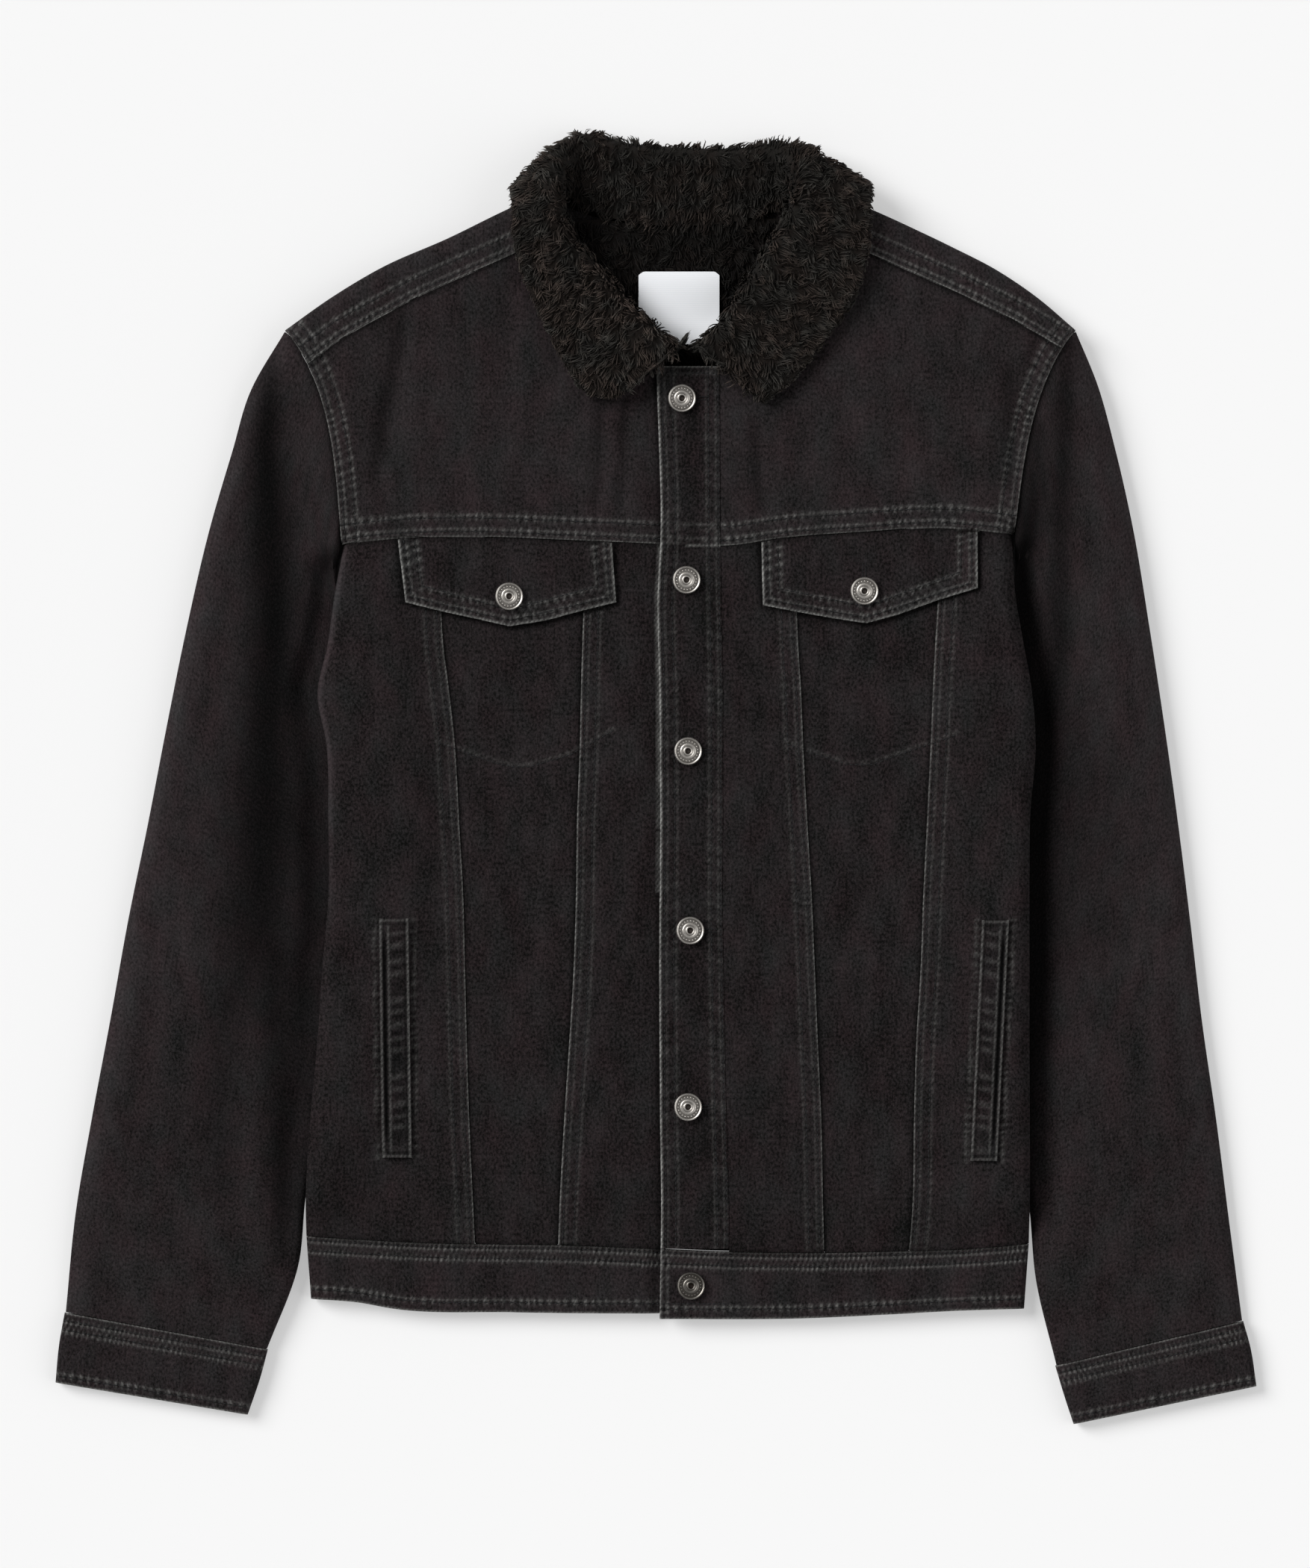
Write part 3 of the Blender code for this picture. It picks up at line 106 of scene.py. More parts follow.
def add(tree, kind, feeds=None, **settings):
    """Adds a node with its settings; feeds gives its inputs a value or another node's socket."""
    made = tree.nodes.new(kind)
    for key_name, value in settings.items():
        setattr(made, key_name, value)
    for key_name, value in (feeds or {}).items():
        if isinstance(value, bpy.types.NodeSocket):
            tree.links.new(value, made.inputs[key_name])
        else:
            made.inputs[key_name].default_value = value
    return made


def new_material(name):
    """A material with its tree, Principled shader and output."""
    material = bpy.data.materials.new(name)
    material.use_nodes = True
    return material, material.node_tree, material.node_tree.nodes["Principled BSDF"]


# Opal acrylic: matt and even, lit from below as much as from above.
board, tree, surface = new_material("opal light table")
surface.inputs["Base Color"].default_value = linear("#bdbdbd")
surface.inputs["Roughness"].default_value = 0.9
surface.inputs["Specular IOR Level"].default_value = 0.0
surface.inputs["Emission Color"].default_value = (1.0, 1.0, 1.0, 1.0)
surface.inputs["Emission Strength"].default_value = 0.392
bpy.ops.mesh.primitive_plane_add(size=30, location=(0, 0, -FLOOR_DROP))
floor = bpy.context.object
floor.name = "floor"
floor.data.materials.append(board)
floor.select_set(False)

# ---------------------------------------------------------------- Lower fronts
# Six panels of washed black denim between the yokes and the waistband. The long seams between
# them are lapped and double stitched; the side panels go on round the side folds to the back.
SEAM = 0.15  # half of the gap between two pieces at a seam
FOLD_RADIUS = 9.0
UNDER_ARM = 9.4  # thickness of a sleeve where the body lies on it
ARM_CLEARANCE = 1.2
COLLAR_FALL = 9.0
STAND_DROP = 1.7
FRONT_TOP, FRONT_LOW, WAIST_Y = 250.3, -287.3, -287.0  # levels of the centre front and of the waist
PANEL_TOP, PANEL_LOW = 143.0, -286.0
SIDES = (("left", 1), ("right", -1))
PANEL_RISE = 0.8  # a lapped panel's top above the one it is sewn to
SIDE_SEAM = 15.0
NECK_MIDDLE = 19.0
CLOTH = 1.2  # thickness of the denim
ABOVE_FLOOR = 0.05
BODY_LINES = ("y", "fold_left", "seam_a", "seam_b", "edge", "stitch", "seam_c", "seam_d", "fold_right")
BODY = np.array([
    (240, -185, -133, -42, 0.6, 38.9, 83, 176, 212),
    (139, -191.1, -131.5, -43.2, 2.6, 39.4, 84.6, 173.4, 217.2),
    (110, -195.9, -130.8, -43.9, 0.9, 39.8, 85.6, 171.8, 218.6),
    (80, -200.1, -129.4, -44.9, 1.4, 40.4, 86.7, 170, 223.4),
    (51, -206, -125.8, -45.7, 2.2, 40.8, 88.5, 168.4, 228.6),
    (19, -200.6, -122.3, -46.4, 2.3, 40.7, 89.8, 167.1, 231.3),
    (-27, -199.5, -119.7, -48.1, 2.7, 40.8, 92.3, 164.9, 228),
    (-72, -199.3, -117.2, -48.7, 2.3, 40.6, 95, 162.7, 227.5),
    (-118, -202.9, -116, -50.2, 2, 41.2, 97, 161, 227.5),
    (-163, -206, -114.9, -52.9, 2.3, 42, 98.9, 158.3, 227.5),
    (-209, -210.1, -113.5, -55.9, 2.5, 43, 101, 157, 227.7),
    (-254, -213, -111.5, -58.4, 3.2, 44.3, 101.9, 156.4, 227.9),
    (-330, -212, -108, -61, 2.2, 44.3, 104, 150, 226.5),
])
YOKE_SEAM = np.array([
    (-191, 142), (-173, 144), (-153, 145.6), (-102, 146.3), (-54, 144.4), (3, 142),
    (30, 140.8), (48, 141.3), (73, 145.1), (127, 149.4), (176, 151.8), (200, 149.8), (218, 147.9),
])
WAIST_SEAM = np.array([
    (-213, -279.8), (-148, -283.5), (-41, -285.7), (2, -287.6), (50, -289.4), (102, -289.8),
    (149, -288.9), (188, -287.6), (228, -284.4),
])
SHOULDER_FOLD = {
    "left": np.array([
        (-226, 272.5), (-199, 291.7), (-168, 310.3), (-127, 328.5), (-91, 345.8), (-63, 358.7),
    ]),
    "right": np.array([
        (93, 362), (133, 345.3), (181, 323.1), (209, 308.5), (233, 292.1), (256, 272.5),
    ]),
}
BODY_THICKNESS = np.array([
    (-335, 12), (-285, 13.5), (-245, 19), (-190, 21.5), (0, 22.5), (150, 22), (360, 21),
])
# Sleeves from armhole to cuff: part, outer fold x and y, inner fold x and y, thickness.
SLEEVE = {
    "left": np.array([
        (0, -226.1, 271.5, -191.6, 141.4, 21),
        (0.055, -246, 237.5, -193.2, 113.3, 20),
        (0.12, -258.1, 198.7, -182.5, 81.6, 18),
        (0.20, -272.1, 151.1, -173.5, 42.5, 16.5),
        (0.30, -286, 91.5, -168.5, -6.3, 16),
        (0.40, -298.1, 31.9, -171.1, -55.1, 15.5),
        (0.50, -309.6, -27.8, -177, -104, 15),
        (0.60, -321.8, -87.4, -186, -152.8, 14.5),
        (0.70, -332.5, -147, -197.4, -201.6, 14),
        (0.80, -343.7, -206.6, -212.5, -250.4, 13.5),
        (0.90, -353.9, -266.2, -218.4, -299.3, 12.5),
        (1, -359.9, -326.2, -237.1, -348.6, 10.5),
    ]),
    "right": np.array([
        (0, 255.9, 271.5, 218.4, 147.4, 21),
        (0.055, 269.1, 239.4, 217.2, 117.9, 20),
        (0.12, 280, 200.1, 204.4, 85.2, 18),
        (0.20, 290.9, 151.9, 197, 44.9, 16.5),
        (0.30, 301, 91.5, 196.6, -5.5, 16),
        (0.40, 310.2, 31.2, 198.8, -55.9, 15.5),
        (0.50, 318.6, -29.1, 202.9, -106.2, 15),
        (0.60, 326.1, -89.5, 208.4, -156.6, 14.5),
        (0.70, 333.2, -149.8, 215.7, -207, 14),
        (0.80, 341.9, -210.1, 227, -257.3, 13.5),
        (0.90, 349.6, -270.5, 232, -307.7, 12.5),
        (1, 357.6, -331.4, 244.3, -358.6, 10.5),
    ]),
}
# Soft troughs (depth under 0) and ridges: from x, y to x, y, depth, width.
FOLDS = (
    (-33, 240, -36, 155, -2, 4.5), (-19, 232, -21, 160, -1.9, 4), (60, 215, 64, 160, -1.8, 4.5),
    (-152, 288, -174, 176, -2.4, 7), (-186, 280, -190, 190, 1.2, 8), (-95, 305, -93, 246, -1.4, 9),
    (216, 250, 215, 172, -2.2, 7), (233, 270, 228, 246, -1.6, 5), (252, 264, 247, 160, -3, 9),
    (236, 158, 262, 70, -2.2, 10), (-215, 120, -240, 60, -2.4, 10), (-232, 190, -262, 130, -1.6, 12),
    (-300, -20, -240, -48, -2, 11), (-312, -70, -250, -90, -1.8, 11),
    (-322, -230, -262, -262, -1.8, 10), (-330, -290, -270, -300, -1.6, 9),
    (315, -40, 262, -62, -2, 11), (320, -96, 258, -104, -1.8, 11),
    (332, -232, 276, -258, -1.8, 10), (340, -285, 280, -312, -1.6, 9),
    (-170, -60, -150, -250, -1, 16), (190, -50, 188, -250, -1, 16),
    (-84, 40, -90, -240, -1, 20), (128, 40, 126, -240, -1, 20),
)


def smooth_curve(points, at):
    """Value at each place of a smooth curve through rows of (place, value), places rising."""
    place = points[:, 0]
    value = points[:, 1]
    slope = np.gradient(value, place)
    at = np.clip(np.asarray(at, float), place[0], place[-1])
    i = np.clip(np.searchsorted(place, at, side="right") - 1, 0, len(place) - 2)
    step = place[i + 1] - place[i]
    t = (at - place[i]) / step
    near_part = (1 + 2 * t) * (1 - t) ** 2 * value[i] + t * (1 - t) ** 2 * step * slope[i]
    far_part = t * t * (3 - 2 * t) * value[i + 1] + t * t * (t - 1) * step * slope[i + 1]
    return near_part + far_part


def body_line(name, y):
    """x of one of the body's long lines."""
    return smooth_curve(BODY[::-1][:, (0, BODY_LINES.index(name))], y)


def ease(t):
    """0 to 1 with soft ends."""
    t = np.clip(t, 0.0, 1.0)
    return t * t * (3 - 2 * t)


def bell(d, width):
    """1 at d = 0, falling away over the width."""
    return np.exp(-((d / width) ** 2))


def rounding(d, radius=FOLD_RADIUS):
    """Height share of a rounded edge at distance d from it."""
    t = 1 - np.clip(d / radius, 0.0, 1.0)
    return np.sqrt(np.maximum(1 - t * t, 0.0))


def sleeve_inner(side, y):
    """x of a sleeve's inner fold."""
    return smooth_curve(SLEEVE[side][::-1][:, (4, 3)], y)


def side_lift(x, y):
    """Height to which the sleeves under it lift the body."""
    run = 40.0
    lifts = []
    for side, sign in SIDES:
        share = ease((SLEEVE[side][0, 4] - 4 - y) / 26) * ease((y + 281) / 24)
        lifts.append(share * ease(((sleeve_inner(side, y) - x) * sign + 8 + run) / run))
    return (UNDER_ARM + ARM_CLEARANCE) * np.maximum(*lifts)


def neck_lift(x, y):
    """Height to which the collar's fall lifts the back yoke."""
    bow = 313.0 + 0.0025 * (x - NECK_MIDDLE) ** 2
    return COLLAR_FALL * ease((y - (bow - 2) + 34.0) / 34.0)


def shoulder_distance(x, y):
    """Distance in front of the shoulder folds; far where there is none."""
    d = np.full(np.shape(x), 99.0)
    for side, on_shoulder in (("left", x <= -62.99), ("right", x >= 92.99)):
        d = np.where(on_shoulder, np.minimum(d, (smooth_curve(SHOULDER_FOLD[side], x) - y) * 0.88), d)
    return np.maximum(d, 0.0)


def fold_line_distance(x, y):
    """Distance to the nearest of the shoulder folds, sleeve folds and side folds."""
    d = shoulder_distance(x, y)
    for side, sign in SIDES:
        sleeve_fold = (x - smooth_curve(SLEEVE[side][::-1][:, (2, 1)], y)) * sign
        d = np.minimum(d, sleeve_fold * 0.9)
        pit = SLEEVE[side][0, 4]
        edge = body_line("fold_" + side, np.minimum(y, pit)) - sign * np.maximum(y - pit, 0)
        d = np.minimum(d, (x - edge) * sign * np.where(y > pit, 0.7, 1.0))
    return np.maximum(d, 0.0)


def relief(x, y):
    """Creases of the top: the sum of the soft troughs and ridges in FOLDS."""
    total = 0.35 * np.sin(x / 31 + 1.3 * np.sin(y / 47)) * np.sin(y / 39 + 0.8)
    for x0, y0, x1, y1, depth, width in FOLDS:
        along_x = x1 - x0
        along_y = y1 - y0
        length = math.hypot(along_x, along_y)
        t = ((x - x0) * along_x + (y - y0) * along_y) / length**2
        across = ((x - x0) * along_y - (y - y0) * along_x) / length
        total = total + depth * bell(across, width) * ease(t * 4 + 0.5) * ease(4.5 - t * 4)
    return total


def fold_shade(x, y):
    """Painted shade of the cloth down in the folds."""
    return np.clip(0.17 * (-relief(x, y) - 0.9), 0, 0.4)


def body_levels(x, y):
    """Lowest, middle and highest level of the laid body, before its edges round off."""
    low = np.maximum(side_lift(x, y), neck_lift(x, y))
    high = smooth_curve(BODY_THICKNESS, y) + np.maximum(0.6 * side_lift(x, y), 0.25 * neck_lift(x, y))
    return low, (low + high) / 2, high


def body_top(x, y):
    """Level of the laid body's upper side."""
    low, middle, high = body_levels(x, y)
    return middle + (high - middle + relief(x, y)) * rounding(fold_line_distance(x, y))


def front_rise(x, y):
    """What the lap at the centre front adds to a front panel's height."""
    edge = body_line("edge", y)
    stitch = body_line("stitch", y)
    left = -STAND_DROP * ease((x - edge + 14) / 14)
    right = 1.0 * ease((stitch + 30 - x) / 30)
    return np.where(x < (edge + stitch) / 2, left, right)


def line_down(name, top=PANEL_TOP, bottom=WAIST_Y):
    """Plan path of one of the body's long lines, from the top down."""
    y = np.linspace(top, bottom, 60)
    return np.stack([body_line(name, y), y], -1)


def near(path, x, y):
    """Distance from a path in plan, over 0 to the left of its run, the length run to the nearest
    point, and how far the point lies beyond the path's ends."""
    best = np.full(x.shape, 1e9)
    side = np.ones(x.shape)
    run = np.zeros(x.shape)
    over = np.zeros(x.shape)
    length = 0.0
    for i, ((x0, y0), (x1, y1)) in enumerate(zip(path[:-1], path[1:])):
        dx = x1 - x0
        dy = y1 - y0
        step = math.hypot(dx, dy)
        t = ((x - x0) * dx + (y - y0) * dy) / step**2
        inside = np.clip(t, 0, 1)
        gap = np.hypot(x - x0 - inside * dx, y - y0 - inside * dy)
        closer = gap < best
        best = np.where(closer, gap, best)
        side = np.where(closer, np.sign(dx * (y - y0) - dy * (x - x0)), side)
        run = np.where(closer, length + inside * step, run)
        beyond = np.where(t < 0, -t * step if i == 0 else 0, 0)
        beyond = np.where(t > 1, (t - 1) * step if i == len(path) - 2 else 0, beyond)
        over = np.where(closer, beyond, over)
        length += step
    return best * side, run, over


# The most painted shade that cloth can take.
DARKEST = 0.95  # of the shade that cloth can lie in


def sewn(x, y, seams, pitch=0.78):
    """What seams do to the cloth beside them: height in mm, paleness and painted shade.

    Each seam is (path, side of its stitching, distances of its rows, how worn its edge is, pull of its
    rows). The rubbed edge is pale, and the cloth beyond it is painted dark as if in its shadow. Each
    row sinks and gathers the cloth into puckers, whose length goes with the pitch; the row and the
    hollows between the puckers get painted shade."""
    height, wear_and_tip_light, dark = (np.zeros(x.shape) for field in range(3))
    for path, side, rows, edge, pull in seams:
        d, run, over = near(path, x, y)
        d = d * side
        on = ease(1 - over / 2)
        lap = on * (d > -0.05)
        seed = path[0][0] * 0.37 + path[0][1] * 0.11
        height += lap * edge * (0.30 * bell(d - 1.4, 1.0) - 0.60 * bell(d, 0.5))
        wear_and_tip_light += lap * edge * bell(d, 0.45 + 0.55 * edge) * (0.85 + 0.2 * np.sin(run / 3.7 + seed))
        dark += on * (d < 0) * 0.8 * bell(d + 0.2, 1.2 + 1.3 * edge) * min(edge * 1.5, 1)
        slow = 0.8 + 0.22 * np.sin(run / 19 + seed) + 0.28 * np.sin(run / 5.1 + 3 * seed)
        for k, row in enumerate(rows):
            beat = run + 0.12 * d + 1.3 * k
            stray = 1.5 * np.sin(beat / 7.3 + seed) + 0.9 * np.sin(beat / 3.1 + 2 * seed)
            wave = np.sin(beat / pitch + stray)
            pulled = lap * pull * bell(d - row - 0.6, 2.0) * np.clip(slow, 0.35, 1.3)
            height += 0.24 * pulled * wave - 0.25 * lap * bell(d - row, 0.6)
            wear_and_tip_light += pulled * (0.02 + 0.29 * np.maximum(wave, 0))
            wear_and_tip_light += 0.13 * lap * pull**0.5 * bell(d - row - 1.5, 0.6)
            dark += 0.55 * pulled * np.maximum(-wave, 0) + 0.45 * lap * pull**0.5 * bell(d - row, 0.5)
    return height, np.clip(wear_and_tip_light, 0, 1), np.clip(dark, 0, DARKEST)


def deepened(dark, x, y, edges, folds=0.0):
    """Painted shade of the cloth, with the painted shadow that edges above it and its own folds add."""
    return np.clip(dark + sewn(x, y, edges)[2] + folds * fold_shade(x, y), 0, DARKEST)


# Places across a sewn edge, closest where its rows lie.
SEWN = (0, 0.35, 0.75, 1.2, 1.8, 2.5, 3.2, 3.9, 4.8, 5.8, 6.8, 7.8, 8.6, 9.3, 10, 10.9, 12, 13.4, 15.2, 17.5)


def shares(width, first=False, last=False, pitch=3.0):
    """Shares across a piece: close together beside a sewn edge, wider between."""
    start = np.array(SEWN if first else (0.0,))
    end = np.array(SEWN if last else (0.0,))
    count = max(2, int((width - start[-1] - end[-1]) / pitch) + 1)
    middle = np.linspace(start[-1], width - end[-1], count)
    return np.concatenate([start[:-1], middle, width - end[:-1][::-1]]) / width


def quads(grid, ring=False):
    """Quads of a grid of point numbers; ring closes each row on itself."""
    beside_it = np.roll(grid, -1, axis=1)
    a, b = (grid, beside_it) if ring else (grid[:, :-1], beside_it[:, :-1])
    return np.stack([a[:-1], b[:-1], b[1:], a[1:]], -1).reshape(-1, 4)


def open_edges(faces, count):
    """Edges of the quads that no other quad shares."""
    here = np.concatenate([faces[:, (k, (k + 1) % 4)] for k in range(4)])
    return here[~np.isin(here[:, 0] * count + here[:, 1], here[:, 1] * count + here[:, 0])]


def mesh_piece(name, points, polygons, finish, values):
    """A smooth mesh of points in mm, with its values at each point, that rides on the jacket."""
    mesh = bpy.data.meshes.new(name)
    mesh.from_pydata((points * MM).tolist(), [], polygons)
    for label, value in values.items():
        mesh.attributes.new(label, "FLOAT", "POINT").data.foreach_set("value", value.astype(np.float32))
    mesh.materials.append(finish)
    mesh.shade_smooth()
    piece = bpy.data.objects.new(name, mesh)
    scene.collection.objects.link(piece)
    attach(piece, "root")
    return piece


def cloth(name, points, finish, ring=False, grids=None, step=3, thickness=CLOTH, up=1,
          wear_and_tip_light=0.0, dark=0.0, tone=0.0, lay=None):
    """A shell of cloth behind its outer points, closed by a rim at its edges.

    The points come as one grid, or as a list with grids of their numbers; ring closes each row on
    itself. The hidden side has only every step-th row and column. up is 1 where the highest outer
    point faces up, and -1 where it faces down. lay is the plan of the cloth before it was made up,
    where that isn't its plan from above."""
    grids = grids or [np.arange(points.shape[0] * points.shape[1]).reshape(points.shape[:2])]
    points = np.asarray(points, float).reshape(-1, 3)
    count = len(points)
    faces = np.vstack([quads(grid, ring) for grid in grids])
    hidden = []
    for grid in grids:
        kept_rows = sorted({*range(0, len(grid), step), len(grid) - 1})
        kept_columns = sorted({*range(0, grid.shape[1], step), 0 if ring else grid.shape[1] - 1})
        hidden.append(quads(grid[kept_rows][:, kept_columns], ring))
    hidden = np.vstack(hidden)
    corner = points[faces]
    face_normal = np.cross(corner[:, 2] - corner[:, 0], corner[:, 3] - corner[:, 1])
    normal = np.zeros_like(points)
    for k in range(4):
        np.add.at(normal, faces[:, k], face_normal)
    if normal[np.argmax(points[:, 2])][2] * up < 0:
        normal = -normal
        faces = faces[:, ::-1]
        hidden = hidden[:, ::-1]
    normal /= np.maximum(np.linalg.norm(normal, axis=1, keepdims=True), 1e-9)
    kept = np.unique(hidden)
    number = np.zeros(count, int)
    number[kept] = count + np.arange(len(kept))
    inner = points[kept] - normal[kept] * thickness
    inner[:, 2] = np.maximum(inner[:, 2], ABOVE_FLOOR)
    onward = dict(open_edges(faces, count).tolist())
    polygons = faces.tolist() + number[hidden[:, ::-1]].tolist()
    for a, b in open_edges(hidden, count).tolist():
        chain = [a]
        while chain[-1] != b:
            chain.append(onward[chain[-1]])
        polygons.append(chain[::-1] + [int(number[a]), int(number[b])])
    values = {}
    for label, value in (("wear_and_tip_light", wear_and_tip_light), ("dark", dark), ("tone", tone)):
        outer = np.broadcast_to(np.asarray(value, float).reshape(-1), (count,))
        values[label] = np.concatenate([outer, outer[kept] * 0.5])
    piece = mesh_piece(name + "_cloth", np.vstack([points, inner]), polygons, finish, values)
    mesh = piece.data
    mesh.set_sharp_from_angle(angle=math.radians(55))
    plan = points[:, :2] if lay is None else np.stack([np.asarray(part).reshape(-1) for part in lay], -1)
    plan = np.vstack([plan, plan[kept]]) * MM
    corners = np.zeros(len(mesh.loops), np.int32)
    mesh.loops.foreach_get("vertex_index", corners)
    uv = mesh.uv_layers.new(name="cloth")
    uv.data.foreach_set("uv", plan[corners].astype(np.float32).ravel())
    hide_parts(name)
    area = float(np.linalg.norm(face_normal, axis=1).sum() / 2) * MM * MM
    size = np.maximum(plan.max(0) - plan.min(0), 0.012)
    size = size * math.sqrt(max(area / (size[0] * size[1]), 1.0)) * 1.001
    return piece


# Washed black denim, 12 oz twill: black warp over a grey weft, so the eye sees fine grey flecks
# and faint slubs down the warp, rubbed paler at the edges where the twill shows as a fine rope.
# Threads are 0.5 mm apart; the flecks are drawn about 1 mm wide, because finer ones don't show.
denim, tree, surface = new_material("washed black denim twill")
lay_of_cloth = add(tree, "ShaderNodeUVMap", uv_map="cloth").outputs["UV"]


def noise(scale, detail=2.0, roughness=0.6, stretch=(1.0, 1.0, 1.0)):
    """Noise in metres of the cloth, stretched along an axis whose scale is under 1."""
    place = add(tree, "ShaderNodeMapping", {"Vector": lay_of_cloth, "Scale": stretch}).outputs["Vector"]
    return add(tree, "ShaderNodeTexNoise", {
        "Vector": place, "Scale": scale, "Detail": detail, "Roughness": roughness}).outputs["Fac"]


def mapped(value, to_low, to_high, low=0.3, high=0.7):
    """A value brought from one range, by default that of noise, to another."""
    return add(tree, "ShaderNodeMapRange", {
        "Value": value, "From Min": low, "From Max": high, "To Min": to_low, "To Max": to_high}).outputs[0]


def combine(operation, a, b, clamp=False):
    """Two values added or multiplied."""
    return add(tree, "ShaderNodeMath", {0: a, 1: b}, operation=operation, use_clamp=clamp).outputs[0]


def mixed(factor, a, b):
    """A colour between two colours."""
    return add(tree, "ShaderNodeMix", {"Factor": factor, "A": a, "B": b}, data_type="RGBA").outputs["Result"]


def point_value(label):
    """A value that the mesh carries at its points."""
    return add(tree, "ShaderNodeAttribute", attribute_name=label).outputs["Fac"]


def dressed(colour, height, strength, distance):
    """Gives the current shader a colour and a bump."""
    bump = add(tree, "ShaderNodeBump", {"Height": height, "Strength": strength, "Distance": distance})
    tree.links.new(colour, surface.inputs["Base Color"])
    tree.links.new(bump.outputs["Normal"], surface.inputs["Normal"])


flecks = noise(720.0, 2.0, 0.7, (1.0, 0.7, 1.0))
slubs = noise(420.0, 2.0, 0.5, (1.0, 0.15, 1.0))
blotches = noise(75.0, 4.0, 0.65, (1.0, 0.45, 1.0))
clouds = noise(30.0, 2.0, 0.5, (1.0, 0.5, 1.0))
dye = noise(55.0, 1.0, 0.5, (1.0, 0.6, 1.0))
weave_tone = combine("ADD", mapped(flecks, -0.06, 0.61), mapped(slubs, -0.05, 0.05))
patchy = combine("ADD", mapped(blotches, -0.14, 0.14), mapped(clouds, -0.07, 0.07))
toned = combine("ADD", combine("ADD", weave_tone, patchy), point_value("tone"), True)
tint = mapped(dye, 0.0, 1.0, 0.25, 0.75)
dark_yarn = mixed(tint, linear("#0d0a0a"), linear("#0a0b0a"))
pale_yarn = mixed(tint, linear("#3b3133"), linear("#363435"))
cloth_colour = mixed(toned, dark_yarn, pale_yarn)
slanted = add(tree, "ShaderNodeMapping", {"Vector": lay_of_cloth, "Rotation": (0.0, 0.0, math.radians(35))})
twill = add(tree, "ShaderNodeTexWave", {
    "Vector": slanted.outputs["Vector"], "Scale": 150.0, "Distortion": 1.5, "Detail": 1.0}).outputs["Fac"]
rope = combine("MULTIPLY", mapped(twill, 0.6, 1.2, 0.0, 1.0), mapped(flecks, 0.45, 1.45))
rubbed = mixed(combine("MULTIPLY", point_value("wear_and_tip_light"), rope, True), cloth_colour, linear("#8a8a87"))
# Painted shade: each point's dark value mixes the cloth towards near black, where folds, laps and edges would
# shade it.
shade_share = combine("MULTIPLY", point_value("dark"), mapped(flecks, 1.10, 0.86), True)
dressed(mixed(shade_share, rubbed, linear("#040404")), weave_tone, 0.6, 0.0003)
surface.inputs["Roughness"].default_value = 0.9
surface.inputs["Specular IOR Level"].default_value = 0.05
surface.inputs["Sheen Weight"].default_value = 0.02
surface.inputs["Sheen Roughness"].default_value = 0.4
surface.inputs["Sheen Tint"].default_value = linear("#c8c8c8")

STRIP = (2.8, 9.4)  # rows of a lapped seam, from its edge
SEAM_A, SEAM_B, SEAM_C, SEAM_D = (
    (line_down(name), way, STRIP, worn, 0.25)
    for name, way, worn in (("seam_a", -1, 0.5), ("seam_b", 1, 0.6), ("seam_c", -1, 0.6), ("seam_d", 1, 0.5))
)
# Stitching of the pocket bags behind the fronts, a shallow V between two seams.
BAG_STITCH = {
    "left": np.array([
        (-132.8, 21.4), (-120, 16.4), (-97.4, 8.6), (-86.9, 6.4), (-76.9, 6.4), (-52.3, 13.6), (-24.6, 29.1),
    ]),
    "right": np.array([
        (79.2, 20.5), (92.8, 15.5), (116.9, 7.7), (131.5, 7.7), (143.8, 12.3), (177.9, 24.1), (184.3, 26.4),
    ]),
}
BAGS = [(path, 1, (0.0,), 0.0, 0.3) for path in BAG_STITCH.values()]
FLAP = {  # pocket flaps: top x, y and bottom x, y of each knot across
    "left": np.array([
        (-157, 145, -152.4, 106.5), (-136.5, 145.7, -132.4, 101.5), (-112.7, 145.8, -110.5, 96.7),
        (-90, 145.5, -89.2, 91.9), (-69.2, 144.5, -67.3, 95.3), (-46.9, 143.7, -44.6, 101.5),
        (-26.8, 142.8, -24.1, 106.5),
    ]),
    "right": np.array([
        (64.2, 143.2, 65.1, 104.7), (86, 145.6, 86.5, 100.6), (107.8, 147.4, 106.9, 96.9),
        (128.4, 148.9, 127.9, 93.7), (151.5, 150.6, 147.4, 99), (173.4, 152.2, 171.5, 107.8),
        (195.7, 153.1, 195.7, 115.1),
    ]),
}
FLAP_OUTLINE = {
    side: np.vstack([knots[:1, :2], knots[:, 2:], knots[-1:, :2]]) for side, knots in FLAP.items()
}
WELT = {  # hand pocket welts with their slits, top and bottom corners: x left, x right, y
    "left": ((-168.4, -150.4, -86.0), (-166.6, -148.6, -231.6)),
    "right": ((198.2, 214.8, -86.9), (191.4, 207.6, -233.5)),
}
WELT_FRAMES = {  # the cloth puckers along both sides of a welt
    side: [(np.array([(top[k], top[2]), (low[k], low[2])]), way, (1.6,), 0.0, 0.5)
           for k, way in ((0, -1), (1, 1))]
    for side, (top, low) in WELT.items()
}


def curve_path(points, start, end, count):
    """Plan path along a smooth curve, from one x to another."""
    at = np.linspace(start, end, count)
    return np.stack([at, smooth_curve(points, at)], -1)


# Edges whose shadow is painted on the panels below them.
YOKE_LINE = curve_path(YOKE_SEAM, -191, 218, 80)
WAIST_LINE = curve_path(WAIST_SEAM, -213, 228, 60)
SHADES = [(YOKE_LINE, 1, (), 0.5, 0.0), (WAIST_LINE, -1, (), 0.4, 0.0)]
SHADES += [(outline, 1, (), 0.9, 0.0) for outline in FLAP_OUTLINE.values()]
EDGE_SHADE = (line_down("edge", FRONT_TOP, FRONT_LOW), 1, (), 0.5, 0.0)
DROP = np.linspace(0, 1, 300)  # rows from the yoke seam down to the waistband


def lower_y(x):
    """y of each row at each x, from the yoke seam down to the waistband seam."""
    top = smooth_curve(YOKE_SEAM, x) - SEAM
    return top + (smooth_curve(WAIST_SEAM, x) + SEAM - top) * DROP[:, None]


